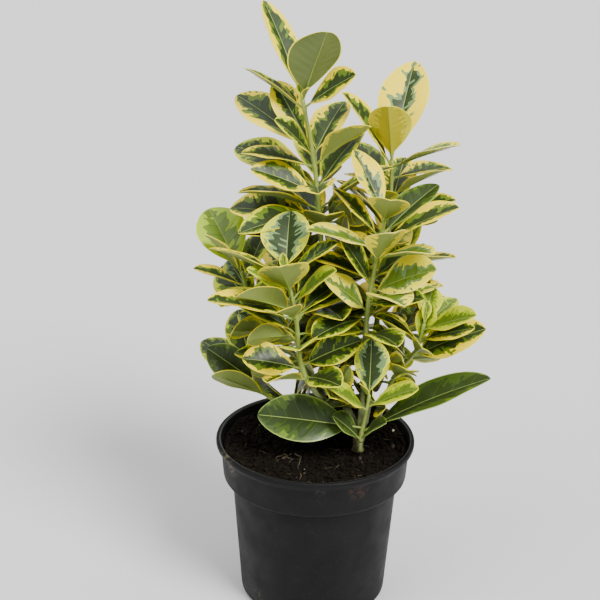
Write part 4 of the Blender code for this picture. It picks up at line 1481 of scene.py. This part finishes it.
def fibre_grid(x, y, heading, length, radius, chance):
    """A thin root that wanders over the peat: its heading turns by a random walk."""
    turn = heading + np.cumsum(chance.normal(0.0, 0.33, ROOT_STEPS))
    path = np.stack([x + np.cumsum(np.cos(turn)) * length / ROOT_STEPS,
                     y + np.cumsum(np.sin(turn)) * length / ROOT_STEPS], 1)
    inside = np.hypot(path[:, 0], path[:, 1]) < inner_radius(SOIL_HEIGHT) - 2.0
    path = path[: max(3, int(inside.argmin()) if not inside.all() else ROOT_STEPS)]
    lift = 0.25 + 0.5 * chance.random() * np.sin(np.linspace(0, np.pi, len(path)))
    points = np.column_stack([path, soil_level(path[:, 0], path[:, 1]) + lift + 0.3])
    return tube_grid(points, np.linspace(radius, 0.5 * radius, len(points)), 4)


def make_peat(looks):
    """The block of peat, then crumbs, bark chips, pale grit and root fibres on it."""
    chance = np.random.default_rng(41)
    top = inner_radius(SOIL_HEIGHT) - GAP
    peat = speckled_material(
        "peat", (0.0042, 0.0034, 0.0023), (0.0170, 0.0112, 0.0062), 520.0, 0.42, 0.72, specular=0.1,
        Scale=300.0, Grain=1600.0, Low=0.85, High=1.0, Bump=0.9, Depth=0.0008)
    stand_for(mesh_object("peat", peat_grid(top), [peat]), "peat", "soil")
    x, y = scattered(looks.crumbs, chance, top - 1.2)
    sizes = looks.crumb_size / MM * chance.lognormal(0.0, 0.42, len(x))
    strew_lumps("peat_crumbs", x, y, sizes, 0.25 * sizes, peat, chance)
    bark = speckled_material(
        "bark chip", (0.016, 0.009, 0.005), (0.034, 0.019, 0.010), 500.0, 0.4, 0.7,
        Scale=200.0, Grain=1200.0, Low=0.6, High=0.9, Bump=0.5, Depth=0.0004)
    x, y = scattered(CHIPS, chance, top - 3.0)
    sizes = chance.uniform(0.7, 1.3, len(x))
    x[0], y[0], sizes[0] = LARGE_CHIP
    strew_lumps("bark_chips", x, y, sizes, 0.3, bark, chance)
    pale = finished_material("perlite", (0.55, 0.53, 0.48), Low=0.6, High=0.8, Bump=0.3)
    strew_lumps("perlite_grains", *np.transpose(GRIT), 0.5, pale, chance)
    root = speckled_material(
        "root fibre", (0.055, 0.042, 0.018), (0.14, 0.115, 0.06), 300.0, 0.4, 0.6,
        Scale=200.0, Grain=900.0, Low=0.6, High=0.8, Bump=0.3, Depth=0.0002)
    fibres = [fibre_grid(*fibre, chance) for fibre in ROOTS]
    for place in zip(*scattered(STREWN_ROOTS, chance, top - 6.0)):
        shape = (chance.uniform(0, 6.28), chance.uniform(4, 14), chance.uniform(0.10, 0.2))
        fibres.append(fibre_grid(*place, *shape, chance))
    stand_for(mesh_object("root_fibres", join_grids(fibres), [root]), "peat")


# Operators


class EUONYMUS_OT_studio(bpy.types.Operator):
    """Set up the pale floor, the soft lights and the camera"""

    bl_idname = "euonymus.studio"
    bl_label = "Studio"

    def execute(self, context):
        looks = context.scene.euonymus_studio
        scene = context.scene
        forward = np.array([0.0, math.cos(looks.pitch), -math.sin(looks.pitch)])
        level = np.array([1.0, 0.0, 0.0])
        right = math.cos(looks.roll) * level + math.sin(looks.roll) * np.cross(level, forward)
        place = np.eye(4)
        place[:3, 0], place[:3, 1], place[:3, 2] = right, np.cross(right, forward), -forward
        place[:3, 3] = looks.camera_place
        data = bpy.data.cameras.new("photo camera")
        data.lens, data.clip_start, data.clip_end = looks.lens, 0.02, 20.0
        camera = bpy.data.objects.new("photo camera", data)
        camera.matrix_world = Matrix(place.tolist())
        scene.collection.objects.link(camera)
        scene.camera = camera
        paint = finished_material(
            "floor", looks.floor, Scale=3.0, Grain=40.0, Low=0.8, High=0.9, Bump=0.02)
        corners = FLOOR_REACH * np.array([(-1, -1, 0), (1, -1, 0), (1, 1, 0), (-1, 1, 0)])
        sheet = (corners, np.array([[0, 1, 2, 3]]), NO_TRIANGLES)
        mesh_object("studio_floor", sheet, [paint])
        for name, heading, softness, power, colour in LIGHTS:
            lamp = bpy.data.lights.new(name, "SUN")
            lamp.angle, lamp.energy, lamp.color = math.radians(softness), power, colour
            made = bpy.data.objects.new(name, lamp)
            made.rotation_euler = Vector(heading).to_track_quat("-Z", "Y").to_euler()
            made.location = Vector(heading) * -2.0
            scene.collection.objects.link(made)
        scene.world = bpy.data.worlds.new("studio")
        scene.world.use_nodes = True
        sky = scene.world.node_tree.nodes["Background"]
        sky.inputs["Color"].default_value = (0.93, 0.95, 1.0, 1.0)
        sky.inputs["Strength"].default_value = 0.30
        return {"FINISHED"}


class EUONYMUS_OT_pot(bpy.types.Operator):
    """Turn the nursery pot and bore its drain holes"""

    bl_idname = "euonymus.pot"
    bl_label = "Pot"

    def execute(self, context):
        make_pot(context.scene.euonymus_pot)
        return {"FINISHED"}


class EUONYMUS_OT_peat(bpy.types.Operator):
    """Fill the pot with peat and strew its crumbs and root fibres"""

    bl_idname = "euonymus.peat"
    bl_label = "Peat"

    def execute(self, context):
        make_peat(context.scene.euonymus_pot)
        return {"FINISHED"}


class EUONYMUS_OT_limbs(bpy.types.Operator):
    """Grow the woody foot, the bare boughs and the green stems above them"""

    bl_idname = "euonymus.limbs"
    bl_label = "Foot, boughs and stems"

    def execute(self, context):
        plant = grown_plant()
        bark = speckled_material(
            "foot bark", (0.24, 0.21, 0.075), (0.075, 0.055, 0.028), 350.0, 0.40, 0.62,
            Scale=200.0, Grain=1300.0, Low=0.6, High=0.85, Bump=0.6, Depth=0.0004)
        stand_for(mesh_object("bark_foot", foot_parts(), [bark]), "foot_bark", "stem_foot")
        green = speckled_material(
            "bough bark", (0.20, 0.25, 0.075), (0.12, 0.11, 0.05), 260.0, 0.45, 0.75,
            Scale=200.0, Grain=1200.0, Low=0.5, High=0.7, Bump=0.35, Depth=0.0003)
        boughs = join_grids([bough_parts(shoot, plant) for shoot in SHOOTS])
        stand_for(mesh_object("bark_boughs", boughs, [green]), "shoot_bark",
                  *(f"bough_{shoot.name}" for shoot in SHOOTS))
        young = finished_material("young stem", linear("96a84e"), Scale=150.0, Grain=900.0,
                                  Low=0.42, High=0.6, Bump=0.2, Depth=0.0003)
        parts = [stem_parts(shoot, plant) for shoot in SHOOTS]
        parts += [tube_grid(*twig.piece(0.0, twig.length, 1.5), 8) for twig in plant.twigs]
        stand_for(mesh_object("green_stems", join_grids(parts), [young]), "shoot_bark")
        return {"FINISHED"}


class EUONYMUS_OT_foliage(bpy.types.Operator):
    """Grow the leaves of every shoot, one piece for each"""

    bl_idname = "euonymus.foliage"
    bl_label = "Foliage"

    def execute(self, context):
        plant = grown_plant()
        for shoot in SHOOTS:
            make_leaves(shoot, plant, context.scene.euonymus_leaf)
        return {"FINISHED"}


class EUONYMUS_PT_panel(bpy.types.Panel):
    """Lists the makers of the potted euonymus"""

    bl_label = "Potted euonymus"
    bl_idname = "EUONYMUS_PT_panel"
    bl_space_type = "VIEW_3D"
    bl_region_type = "UI"
    bl_category = "Euonymus"

    def draw(self, context):
        for maker in OPERATORS:
            self.layout.operator(maker.bl_idname)
        for name, owner in GROUPS.items():
            box = self.layout.box()
            for key in owner.__annotations__:
                box.prop(getattr(context.scene, name), key)


OPERATORS = (
    EUONYMUS_OT_studio, EUONYMUS_OT_pot, EUONYMUS_OT_peat, EUONYMUS_OT_limbs, EUONYMUS_OT_foliage,
)
GROUPS = {
    "euonymus_pot": PotLooks,
    "euonymus_leaf": LeafLooks,
    "euonymus_studio": StudioLooks,
}


def register():
    for kind in (*GROUPS.values(), *OPERATORS, EUONYMUS_PT_panel):
        bpy.utils.register_class(kind)
    for name, owner in GROUPS.items():
        setattr(bpy.types.Scene, name, bpy.props.PointerProperty(type=owner))


def unregister():
    for name in GROUPS:
        delattr(bpy.types.Scene, name)
    for kind in (EUONYMUS_PT_panel, *reversed(OPERATORS), *reversed(GROUPS.values())):
        bpy.utils.unregister_class(kind)


def main():
    register()
    bpy.ops.euonymus.studio()
    bpy.ops.euonymus.pot()
    bpy.ops.euonymus.peat()
    bpy.ops.euonymus.limbs()
    bpy.ops.euonymus.foliage()


if __name__ == "__main__":
    main()
